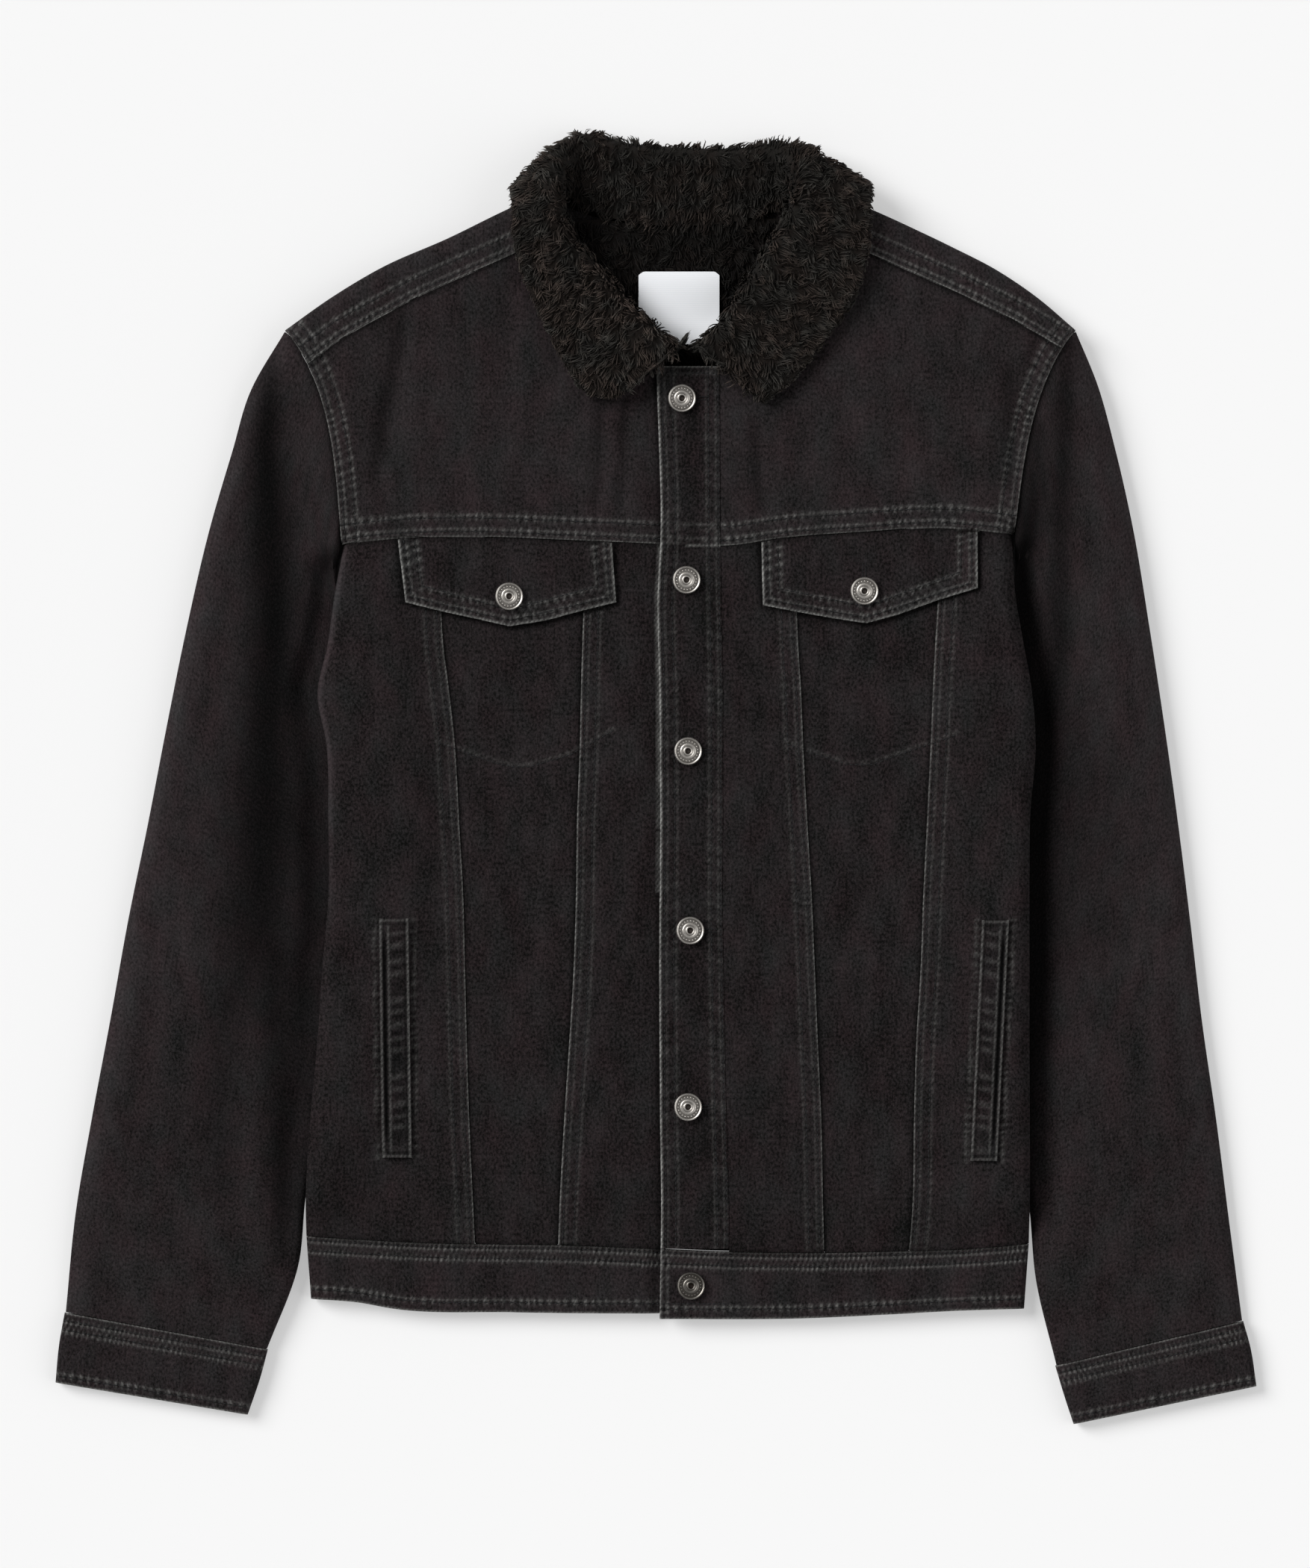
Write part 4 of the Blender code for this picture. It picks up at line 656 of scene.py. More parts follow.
lower_pieces = []
nominal = PANEL_TOP + (PANEL_LOW - PANEL_TOP) * DROP
for name, left, right, last_gap, rise, last_sewn, seams in (
    ("front_mid_left", "seam_a", "seam_b", SEAM, 0.0, True, [SEAM_A, SEAM_B]),
    ("front_inner_left", "seam_b", "edge", -3.0, PANEL_RISE, False, [SEAM_B, EDGE_SHADE]),
    ("front_inner_right", "stitch", "seam_c", SEAM, PANEL_RISE, True, [SEAM_C]),
    ("front_mid_right", "seam_c", "seam_d", SEAM, 0.0, True, [SEAM_C, SEAM_D]),
):
    left_x = body_line(left, nominal) + SEAM
    right_x = body_line(right, nominal) - last_gap
    across = shares(float(np.mean(right_x - left_x)), True, last_sewn)
    x = left_x[:, None] + (right_x - left_x)[:, None] * across
    y = lower_y(x)
    # The dark is painted shade along the seams and in the folds, with the painted shadows of the edges in
    # SHADES.
    height, wear_and_tip_light, dark = sewn(x, y, seams + BAGS)
    z = body_top(x, y) + front_rise(x, y) + rise + height
    lower_pieces.append(cloth(name, np.stack([x, y, z], -1), denim, wear_and_tip_light=wear_and_tip_light,
                              dark=deepened(dark, x, y, SHADES, 1.0)))

for side, seam, sign, stitching in (("left", "seam_a", 1, SEAM_A), ("right", "seam_d", -1, SEAM_D)):
    fold = body_line("fold_" + side, nominal)
    width = (body_line(seam, nominal) - sign * SEAM - fold) * sign
    top_shares = shares(float(np.mean(width)) - FOLD_RADIUS, True, False, 1.7)
    angles = (*range(80, -1, -10), *range(10, 91, 10))
    turned = [FOLD_RADIUS * (1 - math.cos(math.radians(a))) for a in angles]
    d = np.hstack([width[:, None] * (1 - top_shares) + FOLD_RADIUS * top_shares,
                   np.tile([*turned, SIDE_SEAM], (len(fold), 1))])
    level = np.where(np.arange(d.shape[1]) < len(top_shares) + 9, 1, -1)[None, :]  # 9 columns turn above
    x = fold[:, None] + sign * d
    y = lower_y(x)
    low, middle, high = body_levels(x, y)
    height, wear_and_tip_light, dark = sewn(x, y, [stitching] + BAGS + WELT_FRAMES[side])
    dark = deepened(dark, x, y, SHADES, 1.0)
    z = np.where(level > 0, middle + (high + relief(x, y) + PANEL_RISE + height - middle) * rounding(d),
                 middle + (low - middle) * rounding(d))
    # Painted highlight along the left side fold, as if lit by the key light; the dark is painted shade.
    painted_edge_light = (0.55 if side == "left" else 0.0) * bell(d - 1.2, 1.8) * ease((y + 120) / 150)
    lower_pieces.append(cloth(f"front_side_{side}", np.stack([x, y, z], -1), denim,
                              wear_and_tip_light=wear_and_tip_light * (level > 0), dark=dark * (level > 0), tone=painted_edge_light * (level > 0)))

# ---------------------------------------------------------------- Yokes
# The two front yokes run from the yoke seam to the shoulders, and the back yoke lies under them and
# comes over the shoulder folds to the front. Their laps carry two rows of stitching.
SHOULDER_SEAM = {
    "left": np.array([(-212, 252.1), (-190, 268.0), (-147, 291.7), (-87, 318.5), (-63, 330.0)]),
    "right": np.array([(93, 334.3), (131, 318.5), (182, 295.8), (218, 278.5), (246, 262.1)]),
}
NECKLINE = {  # from the neck point to the centre front
    "left": np.array([(-63, 330.0), (-54, 316), (-44, 303), (-24, 280.5), (-7, 261), (3.4, 250.5)]),
    "right": np.array([(93, 334.3), (86, 324), (75, 309), (63, 291), (50, 270), (39.2, 250.5)]),
}
BACK_NECK_DEPTH = 335.0
ARMHOLE_BOW = {"left": 11.4, "right": -10.0}
SHOULDER_PART = {"left": 0.148, "right": 0.075}  # of the armhole seam, taken up by the back yoke


def armhole(side, share, gap=0.0):
    """Plan points of an armhole seam; share 0 at the shoulder fold, 1 at the armpit."""
    top = SLEEVE[side][0, 1:3]
    pit = SLEEVE[side][0, 3:5]
    bow = ARMHOLE_BOW[side] * np.sin(math.pi * np.asarray(share) ** 0.7)
    return np.stack([top[0] + (pit[0] - top[0]) * share + bow + gap, top[1] + (pit[1] - top[1]) * share], -1)


def patch(bottom, top, start, end, columns, rows):
    """Coons patch between four edges; bottom and top run start to end, the sides run upwards."""
    u = columns[None, :, None]
    v = rows[:, None, None]
    across_part = (1 - v) * bottom[None] + v * top[None]
    along_part = (1 - u) * start[:, None] + u * end[:, None]
    low_part = (1 - u) * bottom[0] + u * bottom[-1]
    high_part = (1 - u) * top[0] + u * top[-1]
    return across_part + along_part - (1 - v) * low_part - v * high_part


def spread(points, at):
    """Points at shares of the length of a smooth path through the given points."""
    points = np.asarray(points, float)
    steps = np.linalg.norm(np.diff(points, axis=0), axis=1)
    length = np.concatenate([[0], np.cumsum(steps)]) / steps.sum()
    return np.stack([smooth_curve(np.stack([length, points[:, i]], -1), at) for i in (0, 1)], -1)


YOKE_ROWS = (YOKE_LINE, 1, (3.2, 11.6), 0.55, 1.0)
ARMHOLE_ROWS = {
    side: (armhole(side, np.linspace(0, 1, 50)), sign, (2.8, 9.6), 0.5, 0.8) for side, sign in SIDES}
SHOULDER_ROWS = {side: (SHOULDER_SEAM[side], 1, (3.0, 11.0), 0.7, 0.9) for side in SHOULDER_SEAM}
yoke_pieces = []
for side, sign, front_line, front_gap in (("left", 1, "edge", 3.0), ("right", -1, "stitch", SEAM)):
    part = SHOULDER_PART[side]
    rows = shares(125.0, True, True, 1.5)
    columns = shares(180.0, True, True, 1.6)
    start = armhole(side, 1 - rows * (1 - part), sign * SEAM)
    centre = float(body_line(front_line, 142.0)) + front_gap
    x = start[0, 0] + (centre - start[0, 0]) * columns
    bottom = np.stack([x, smooth_curve(YOKE_SEAM, x) + SEAM], -1)
    start[0] = bottom[0]
    seam_line = SHOULDER_SEAM[side][::sign].astype(float)
    seam_line[0] = start[-1]
    top = spread(seam_line, columns)
    top[:, 1] -= SEAM
    start[-1] = top[0]
    neck = NECKLINE[side][::-1]
    split = 0.5 / (1 - part)
    low_rows = rows <= split
    edge_y = bottom[-1, 1] + (neck[0, 1] - bottom[-1, 1]) * rows[low_rows] / split
    edge_x = body_line(front_line, edge_y) + front_gap
    corner = np.array([[edge_x[-1], neck[0, 1]]])
    upper = spread(np.vstack([corner, neck[1:]]), (rows[~low_rows] - split) / (1 - split))
    end = np.vstack([np.stack([edge_x, edge_y], -1), upper])
    end[-1] = top[-1]
    plan = patch(bottom, top, start, end, columns, rows)
    x, y = plan[..., 0], plan[..., 1]
    height, wear_and_tip_light, dark = sewn(x, y, [YOKE_ROWS, ARMHOLE_ROWS[side], SHOULDER_ROWS[side]])
    # Painted shade in the folds, and on the left front beside the placket's edge.
    dark = deepened(dark, x, y, [EDGE_SHADE] if side == "left" else [], 2.0)
    z = body_top(x, y) + front_rise(x, y) + PANEL_RISE + height
    yoke_pieces.append(cloth(f"front_yoke_{side}", np.stack([x, y, z], -1), denim,
                             wear_and_tip_light=wear_and_tip_light, dark=dark, tone=0.10))


def back_seam(x):
    """y of the back yoke's seam: straight between the side seams."""
    ends = np.array([BODY[1, 1] + SIDE_SEAM, BODY[1, -1] - SIDE_SEAM])
    inside = (x > ends[0]) & (x < ends[1])
    return np.where(inside, np.interp(x, ends, smooth_curve(YOKE_SEAM, ends)), smooth_curve(YOKE_SEAM, x))


def back_neckline(x):
    """y of the back neckline, from neck point to neck point."""
    left, right = SHOULDER_FOLD["left"][-1], SHOULDER_FOLD["right"][0]
    t = np.clip((x - left[0]) / (right[0] - left[0]), 0, 1)
    edge = left[1] + (right[1] - left[1]) * t
    return edge - (edge - BACK_NECK_DEPTH) * np.sin(math.pi * t) ** 0.45


SHOULDER_SHARES = shares(150.0, True, False, 1.7)
NECK_COLUMNS = 41


def back_yoke_plan(rows):
    """Plan of the back yoke on the floor: columns across, rows from its seam up."""
    left_neck, right_neck = SHOULDER_FOLD["left"][-1, 0], SHOULDER_FOLD["right"][0, 0]
    start = armhole("left", 1 - rows, SEAM)
    end = armhole("right", 1 - rows, -SEAM)
    top_x = np.concatenate([
        start[-1, 0] + (left_neck - start[-1, 0]) * SHOULDER_SHARES,
        np.linspace(left_neck, right_neck, NECK_COLUMNS + 2)[1:-1],
        (end[-1, 0] + (right_neck - end[-1, 0]) * SHOULDER_SHARES)[::-1],
    ])
    fold = np.where(top_x < NECK_MIDDLE, smooth_curve(SHOULDER_FOLD["left"], top_x),
                    smooth_curve(SHOULDER_FOLD["right"], top_x))
    in_neck = (top_x > left_neck + 0.01) & (top_x < right_neck - 0.01)
    top = np.stack([top_x, np.where(in_neck, back_neckline(top_x), fold)], -1)
    share = (top_x - top_x[0]) / (top_x[-1] - top_x[0])
    low_x = start[0, 0] + (end[0, 0] - start[0, 0]) * share
    bottom = np.stack([low_x, back_seam(low_x) + SEAM], -1)
    start[0], start[-1] = bottom[0], top[0]
    end[0], end[-1] = bottom[-1], top[-1]
    return patch(bottom, top, start, end, share, rows)


quarter = np.linspace(0, math.pi / 2, 12)[1:]
under_rows = np.concatenate([np.linspace(0, 0.86, 14), 1 - 0.14 * np.cos(quarter)])
plan = back_yoke_plan(under_rows)
x, y = plan[..., 0], plan[..., 1]
low, middle, high = body_levels(x, y)
z = middle + (low - middle) * rounding(fold_line_distance(x, y))
points = [np.stack([x, y, z], -1).reshape(-1, 3)]
grids = [np.arange(x.size).reshape(x.shape)]
wear_parts = [np.zeros(x.size)]
dark_parts = [np.zeros(x.size)]
columns = x.shape[1]
last_row = (x.shape[0] - 1) * columns
shoulder_columns = len(SHOULDER_SHARES)
over_steps = np.concatenate([np.sin(quarter) ** 2 * 0.45, np.linspace(0.47, 1, 16)])
for side, sign, first, end_index in (("left", 1, 0, 0), ("right", -1, columns - shoulder_columns, -1)):
    part = SHOULDER_PART[side]
    fold = points[0][last_row + first:last_row + first + shoulder_columns]
    seam_line = SHOULDER_SEAM[side].astype(float)
    seam_line[end_index] = armhole(side, part, sign * SEAM)
    target = spread(seam_line, SHOULDER_SHARES if sign > 0 else 1 - SHOULDER_SHARES[::-1])
    target[:, 1] += SEAM
    place = fold[None, :, :2] + (target - fold[:, :2])[None] * over_steps[:, None, None]
    place[:, end_index] = armhole(side, part * over_steps, sign * SEAM)
    px, py = place[..., 0], place[..., 1]
    height, wear_and_tip_light, dark = sewn(px, py, [SHOULDER_ROWS[side], ARMHOLE_ROWS[side]])
    pz = body_top(px, py) + (PANEL_RISE + height) * over_steps[:, None]
    base = sum(len(p) for p in points)
    grids.append(np.vstack([np.arange(last_row + first, last_row + first + shoulder_columns)[None],
                            base + np.arange(px.size).reshape(px.shape)]))
    points.append(np.stack([px, py, pz], -1).reshape(-1, 3))
    wear_parts.append(wear_and_tip_light.ravel())
    dark_parts.append(dark.ravel())
yoke_pieces.append(cloth("back_yoke", np.vstack(points), denim, grids=grids, tone=0.10,
                         wear_and_tip_light=np.concatenate(wear_parts), dark=np.concatenate(dark_parts)))

# ---------------------------------------------------------------- Back
# One plain panel of the same denim on the floor, from side seam to side seam below the yoke.
SEAM_ALLOWANCE = 5.0  # runs on over the back yoke, inside
back_rows = np.linspace(0, 1, 60)
back_nominal = PANEL_TOP + (PANEL_LOW - PANEL_TOP) * back_rows
left_x = body_line("fold_left", back_nominal) + SIDE_SEAM + 2 * SEAM
right_x = body_line("fold_right", back_nominal) - SIDE_SEAM - 2 * SEAM
x = left_x[:, None] + (right_x - left_x)[:, None] * np.linspace(0, 1, 60)
back_top = back_seam(x) - SEAM
y = back_top + (smooth_curve(WAIST_SEAM, x) + SEAM - back_top) * back_rows[:, None]
x = np.vstack([x[:1], x[:1], x])
y = np.vstack([y[:1] + SEAM_ALLOWANCE, y[:1] + 1.0, y])
z = body_levels(x, y)[0]
z[:2] += 1.5
cloth("back_panel", np.stack([x, y, z], -1), denim, up=-1)

# ---------------------------------------------------------------- Hand pockets
# Each slant pocket has a narrow welt beside its slit, sewn round by a close frame of stitching
# with a bar tack across each end.
WELT_WIDTH, WELT_LENGTH = 17, 145.6
WELT_RISE = 1.2 + 1.6  # its own thickness over that of the panel
for side, (upper_end, lower_end) in WELT.items():
    t = np.linspace(0, 1, 130)[:, None]
    s = np.linspace(0, 1, 30)[None, :]
    x = (upper_end[0] + (upper_end[1] - upper_end[0]) * s) * (1 - t)
    x = x + (lower_end[0] + (lower_end[1] - lower_end[0]) * s) * t
    y = upper_end[2] + (lower_end[2] - upper_end[2]) * t + 0 * s
    from_slit = (s if side == "left" else 1 - s) * WELT_WIDTH + 0 * t
    from_end = np.minimum(t, 1 - t) * WELT_LENGTH + 0 * s
    swell = np.sin(-y / 1.5 + 1.8 * np.sin(-y / 8.0) + 1.1 * np.sin(-y / 3.7) + 0.15 * from_slit)
    inside = bell(from_slit - 10.0, 4.5) * ease((from_end - 3) / 4)
    slit = bell(from_slit - 2.9, 1.2) * ease(from_end / 20)
    lines = bell(from_slit - 0.8, 0.7) + bell(from_slit - 16.2, 0.7) + 0.5 * bell(from_end - 1.1, 0.8)
    lines = lines + 0.6 * bell(from_slit - 5.2, 0.7) * ease((from_end - 2) / 3)
    height = 0.4 * swell * inside - 1.4 * slit - 0.9 * bell(from_slit, 1.8)
    wear_and_tip_light = 0.09 * np.maximum(swell, 0) * inside + 0.28 * np.minimum(lines, 1)
    # The dark is painted shade in the slit and between the puckers, and in lines along its far side and ends.
    dark = np.clip(1.2 * slit + 0.35 * np.maximum(-swell, 0) * inside
                   + 0.6 * (bell(from_slit - 14.6, 0.7) + bell(from_end - 3.0, 0.8)), 0, 0.97)
    z = body_top(x, y) + PANEL_RISE + WELT_RISE + height
    cloth(f"welt_{side}", np.stack([x, y, z], -1), denim, thickness=1.6,
          wear_and_tip_light=wear_and_tip_light, dark=dark)

# ---------------------------------------------------------------- Pocket flaps
# A pointed flap under each yoke seam, two layers of denim turned at the edges and stitched twice
# round; the turned edges are the palest lines on the jacket.
FLAP_INSETS = (3.4, 10.0)  # of its two rows
FLAP_RISE = 1.2 + 2.0
flap_pieces = []
for side, knots in FLAP.items():
    across = shares(130.0, True, True, 1.4)
    down = 1 - shares(45.0, True, False, 1.6)[::-1]
    table = np.stack([np.interp(across, np.linspace(0, 1, len(knots)), knots[:, k]) for k in range(4)], -1)
    plan = table[None, :, :2] + (table[None, :, 2:] - table[None, :, :2]) * down[:, None, None]
    plan[0, :, 1] = smooth_curve(YOKE_SEAM, plan[0, :, 0]) - 0.6
    x, y = plan[..., 0], plan[..., 1]
    # The dark is painted shade at the rows and puckers, with the painted shadow of the yoke seam's edge along
    # the top.
    height, wear_and_tip_light, dark = sewn(x, y, [(FLAP_OUTLINE[side], 1, FLAP_INSETS, 1.0, 1.0)])
    z = body_top(x, y) + front_rise(x, y) + PANEL_RISE + FLAP_RISE + height
    flap_pieces.append(cloth(f"flap_{side}", np.stack([x, y, z], -1), denim,
                             thickness=2.0, wear_and_tip_light=wear_and_tip_light, dark=deepened(dark, x, y, SHADES[:1])))

# ---------------------------------------------------------------- Centre front
# The right front's edge is turned into a placket that laps over the button stand of the left one.
# Rows of stitching down both edges pull it into short level puckers.
placket_rows = np.linspace(FRONT_TOP, FRONT_LOW, 380)
edge_x = body_line("edge", placket_rows)
stitch_x = body_line("stitch", placket_rows)
EDGE_ROWS = (line_down("edge", FRONT_TOP, FRONT_LOW), 1, (3.0, 9.0), 1.0, 0.25)
PLACKET_ROWS = (line_down("stitch", FRONT_TOP, FRONT_LOW), -1, (1.2, 7.0), 0.0, 0.28)
PLACKET_TOP = (np.array([(0.5, FRONT_TOP), (40.0, FRONT_TOP)]), -1, (3.2,), 0.5, 0.4)
# The yoke's seam runs on through the placket and shows there as a low ridge.
CROSSING = (curve_path(YOKE_SEAM, 4.0, 39.0, 8), 1, (3.2, 11.6), 0.4, 0.6)
placket_seams = [EDGE_ROWS, PLACKET_ROWS, PLACKET_TOP, CROSSING]
centre_pieces = []
for name, under, left_gap, right_gap, level, seams, across in (
    ("placket", "button_stand", 0.0, SEAM, 2.2, placket_seams, shares(38.0, True, True, 1.2)),
    ("button_stand", "back_panel", 3.6, 1.6, -STAND_DROP, [], shares(38.0, False, False, 6.0)),
):
    left_x = edge_x + left_gap
    x = left_x[:, None] + (stitch_x - right_gap - left_x)[:, None] * across
    y = np.repeat(placket_rows[:, None], len(across), 1)
    height, wear_and_tip_light, dark = sewn(x, y, seams, 1.3)
    z = body_top(x, y) + level + height
    centre_pieces.append(cloth(name, np.stack([x, y, z], -1), denim,
                               wear_and_tip_light=wear_and_tip_light, dark=dark, tone=-0.06))
placket_piece = centre_pieces[0]

# ---------------------------------------------------------------- Waistband
# One strip of doubled denim round the hem, its ends lapped under the waist button. A close row of
# stitching holds the seam, a heavy one runs below it, and another runs along the hem.
HEM_LEFT = np.array([(-211, -318.0), (-181, -320.3), (-160, -324.0), (-87, -326.2), (45, -327.1)])
HEM_RIGHT = np.array([(2, -330.3), (90, -329.9), (141, -327.6), (184, -325.3), (226, -324.0)])
BAND_RADIUS = 5.0
BAND_HEIGHT = 36
stitch_end = float(body_line("stitch", WAIST_Y)) - 1.0
turn = [BAND_RADIUS * (1 - math.cos(math.radians(a))) for a in range(75, -1, -15)]
WAIST_ROWS = (WAIST_LINE, -1, (2.2, 8.6), 0.45, 1.0)
HEM_ROWS = {
    "left": (curve_path(HEM_LEFT, -211, 45, 40), 1, (6.0,), 0.6, 1.0),
    "right": (curve_path(HEM_RIGHT, 2, 226, 40), 1, (6.0,), 0.6, 1.0),
}
LAP_ROWS = (line_down("edge", -270.0, -332.0), 1, (3.0,), 0.7, 0.6)
band = {"points": [], "wear_and_tip_light": [], "dark": []}
for row in shares(38.0, True, True, 1.5):
    nominal_y = WAIST_Y - BAND_HEIGHT * row
    fold_left = float(body_line("fold_left", nominal_y)) + 1.8 * row
    fold_right = float(body_line("fold_right", nominal_y)) - 2.0 * row
    edge = float(body_line("edge", nominal_y))
    # x, upper or under side, and part: left front 0, back 1, right front 2.
    path = [(v, 1, 0) for v in np.linspace(stitch_end, fold_left + BAND_RADIUS, 230)]
    path += [(fold_left + v, 1, 0) for v in turn]
    path += [(fold_left + v, -1, 0) for v in turn[-2::-1]]
    path += [(v, -1, 1) for v in np.linspace(fold_left + BAND_RADIUS, fold_right - BAND_RADIUS, 60)]
    path += [(fold_right - v, -1, 2) for v in turn]
    path += [(fold_right - v, 1, 2) for v in turn[-2::-1]]
    path += [(v, 1, 2) for v in np.linspace(fold_right - BAND_RADIUS, edge, 230)]
    x, level, part = np.array(path).T
    fronts = {"left": (part == 0) & (level > 0), "right": (part == 2) & (level > 0)}
    left_hem = smooth_curve(HEM_LEFT, x)
    right_hem = smooth_curve(HEM_RIGHT, x)
    hem = np.choose(part.astype(int), [left_hem, left_hem + (right_hem - left_hem) * ease(x / 60), right_hem])
    top_y = smooth_curve(WAIST_SEAM, x) - SEAM
    y = top_y + (hem - top_y) * row
    d = np.maximum(np.minimum(x - fold_left, fold_right - x), 0.0)
    half = (smooth_curve(BODY_THICKNESS, y) - 1.0) / 2
    lap = np.where(fronts["left"], -3.3 * ease((x - edge + 10) / 10), 0.0)
    lap = lap + np.where(fronts["right"], 0.8 * ease((stitch_end + 16 - x) / 16), 0.0)
    height, wear_and_tip_light, dark = np.zeros((3, len(x)))
    for side, mask in fronts.items():
        at_waist = sewn(x, y, [WAIST_ROWS], 0.5)
        at_hem = sewn(x, y, [HEM_ROWS[side]])
        at_lap = sewn(x, y, [LAP_ROWS] if side == "right" else [])
        here = [a + b + c for a, b, c in zip(at_waist, at_hem, at_lap)]
        height, wear_and_tip_light, dark = (np.where(mask, new, old) for new, old in zip(here, (height, wear_and_tip_light, dark)))
    z = half + level * (half + height) * rounding(d, BAND_RADIUS) + lap
    for kind, values in (("points", np.stack([x, y, z], -1)), ("wear_and_tip_light", wear_and_tip_light), ("dark", dark)):
        band[kind].append(values)
waistband = cloth("waistband", np.array(band["points"]), denim, thickness=2.0, tone=0.08,
                  wear_and_tip_light=np.clip(band["wear_and_tip_light"], 0, 1), dark=np.clip(band["dark"], 0, 1))

# ---------------------------------------------------------------- Sleeves and cuffs
# Each sleeve is a tube of denim pressed flat, its inner part under the body's side. Its cuff is a
# doubled band with two rows below the seam and one near the edge.
CUFF = {
    "left": np.array([
        (0, -360.6, -326.5, -236.6, -349, 10),
        (0.5, -364.2, -347.5, -241.6, -367.5, 10),
        (1, -366.2, -369.2, -248.9, -388.8, 9),
    ]),
    "right": np.array([
        (0, 358.3, -331.7, 243.6, -359, 10),
        (0.5, 363.2, -350, 249, -377, 10),
        (1, 366.4, -371.4, 254.8, -394.6, 9),
    ]),
}


def tube_place(table, side, part, share, bowed):
    """Plan place of points of a flattened tube, on the chords from fold to fold."""
    outer_x, outer_y, inner_x, inner_y = (smooth_curve(table[:, (0, k)], part) for k in (1, 2, 3, 4))
    x = outer_x + (inner_x - outer_x) * share
    if bowed:
        bow = ARMHOLE_BOW[side] * np.sin(math.pi * share**0.7) - dict(SIDES)[side] * SEAM
        x = x + bow * ease(1 - part / 0.3)
    return x, outer_y + (inner_y - outer_y) * share


def tube(side, table, parts, pitch, radius, bowed):
    """Grid of a flattened tube, rows along it and columns round it: x, y, thickness, creases, distance
    from its folds, 1 above and -1 below, place across and part of its length."""
    round_shares = np.array([radius * (1 - math.cos(math.radians(a))) for a in range(0, 86, 10)]) / 120
    flat_shares = np.linspace(round_shares[-1] + 0.012, 1 - round_shares[-1] - 0.012, int(120 / pitch))
    over = np.concatenate([round_shares, flat_shares, 1 - round_shares[::-1]])
    under = np.concatenate([round_shares[1:], flat_shares[1::3], 1 - round_shares[:0:-1]])[::-1]
    share = np.concatenate([over, under])[None, :]
    level = np.concatenate([np.ones(len(over)), -np.ones(len(under))])[None, :]
    part = np.asarray(parts)[:, None]
    thickness = smooth_curve(table[:, (0, 5)], part)
    first = np.concatenate(tube_place(table, side, part, 0.0 * part, bowed), 1)
    last = np.concatenate(tube_place(table, side, part, 0.0 * part + 1.0, bowed), 1)
    width = np.linalg.norm(last - first, axis=1, keepdims=True)
    row_way = (last - first) / width
    slants = []
    for at in (0.0, 1.0):
        ahead, behind = (
            np.concatenate(tube_place(table, side, np.clip(part + step, 0, 1), 0 * part + at, bowed), 1)
            for step in (0.02, -0.02)
        )
        way = ahead - behind
        square = np.stack([-way[:, 1], way[:, 0]], 1) / np.linalg.norm(way, axis=1, keepdims=True)
        slants.append(np.maximum(np.abs((square * row_way).sum(1, keepdims=True)), 0.4))
    x, y = tube_place(table, side, part + 0 * share, share + 0 * part, bowed)
    d = np.minimum(share * width * slants[0], (1 - share) * width * slants[1])
    sign = dict(SIDES)[side]
    fold = body_line("fold_" + side, np.minimum(y, 139.0))
    tuck = ease(((x - fold) * sign + 22) / 16) * ease((SLEEVE[side][0, 4] - y) / 14) * ease((y + 300) / 30)
    height = thickness + (np.minimum(UNDER_ARM, thickness) - thickness) * tuck
    crease = np.where((level > 0) & (height > thickness - 2), relief(x, y), 0.0)
    return x, y, height, crease, d, level, share * width, part


# Long soft troughs down each sleeve with painted shade in them, and painted shadow beside the body: x, y,
# half width, depth, shade.
TROUGHS = {
    "left": ((
        (-235, 262, 5, 0.6, 0.30), (-235, 237, 9, 2.2, 0.78), (-237, 201, 13, 3.2, 0.93),
        (-233, 128, 17, 3.2, 0.94), (-232, 73, 18, 3.2, 0.94), (-237, 18, 21, 3, 0.90),
        (-239, -55, 25, 2.6, 0.88), (-247, -90, 21, 2, 0.72), (-258, -140, 15, 1.8, 0.50),
        (-264, -190, 14, 1.8, 0.36), (-264, -254, 12, 1, 0.23),
    ), (
        (-237, -60, 8, 1, 0.13), (-232, -109, 13, 2.4, 0.62), (-229, -181, 10, 2.6, 0.60),
        (-227, -254, 9, 2.6, 0.52), (-228, -296, 8, 1.6, 0.33),
    ), (
        (-205, 150, 7, 0, 0), (-202, 120, 16, 0, 0.04), (-204, 20, 22, 0, 0.25), (-204, -72, 24, 0, 0.48),
        (-210, -209, 12, 0, 0.36), (-213, -290, 8, 0, 0.26),
    )),
    "right": ((
        (251, 262, 5, 0.6, 0.26), (251, 246, 6, 2, 0.52), (251, 201, 7, 2.6, 0.60), (249, 164, 7, 2.6, 0.60),
        (247, 119, 8, 2.6, 0.60), (246, 73, 9, 2.2, 0.60), (238, 30, 10, 1, 0.39),
    ), (
        (234, 215, 5, 0, 0.45), (230, 182, 7, 0, 0.65), (226, 146, 9, 0, 0.88), (222, 110, 11, 0, 0.92),
        (225, 73, 18, 0, 0.92), (230, 37, 21, 0, 0.92), (230, -72, 21, 0, 0.93), (228, -145, 15, 0, 0.92),
        (227, -181, 10, 0, 0.92), (227, -227, 8, 0, 0.75), (226, -290, 6, 0, 0.62),
    ), (
        (262, 60, 14, 0, 0), (264, 20, 20, 0, 0.24), (266, -60, 24, 0, 0.26), (266, -140, 20, 0, 0.12),
    )),
}


def troughs(side, x, y):
    """Depth and painted shade of the troughs of one side at places in plan."""
    depth = np.zeros(x.shape)
    light = np.ones(x.shape)
    for table in map(np.array, TROUGHS[side]):
        d, run, over = near(table[:, :2], x, y)
        steps = np.linalg.norm(np.diff(table[:, :2], axis=0), axis=1)
        length = np.concatenate([[0], np.cumsum(steps)])
        width, deep, shade = (smooth_curve(np.stack([length, table[:, k]], -1), run) for k in (2, 3, 4))
        share = bell(d, width) * bell(over, width)
        depth += deep * share
        light *= 1 - shade * share
    return depth, 1 - light


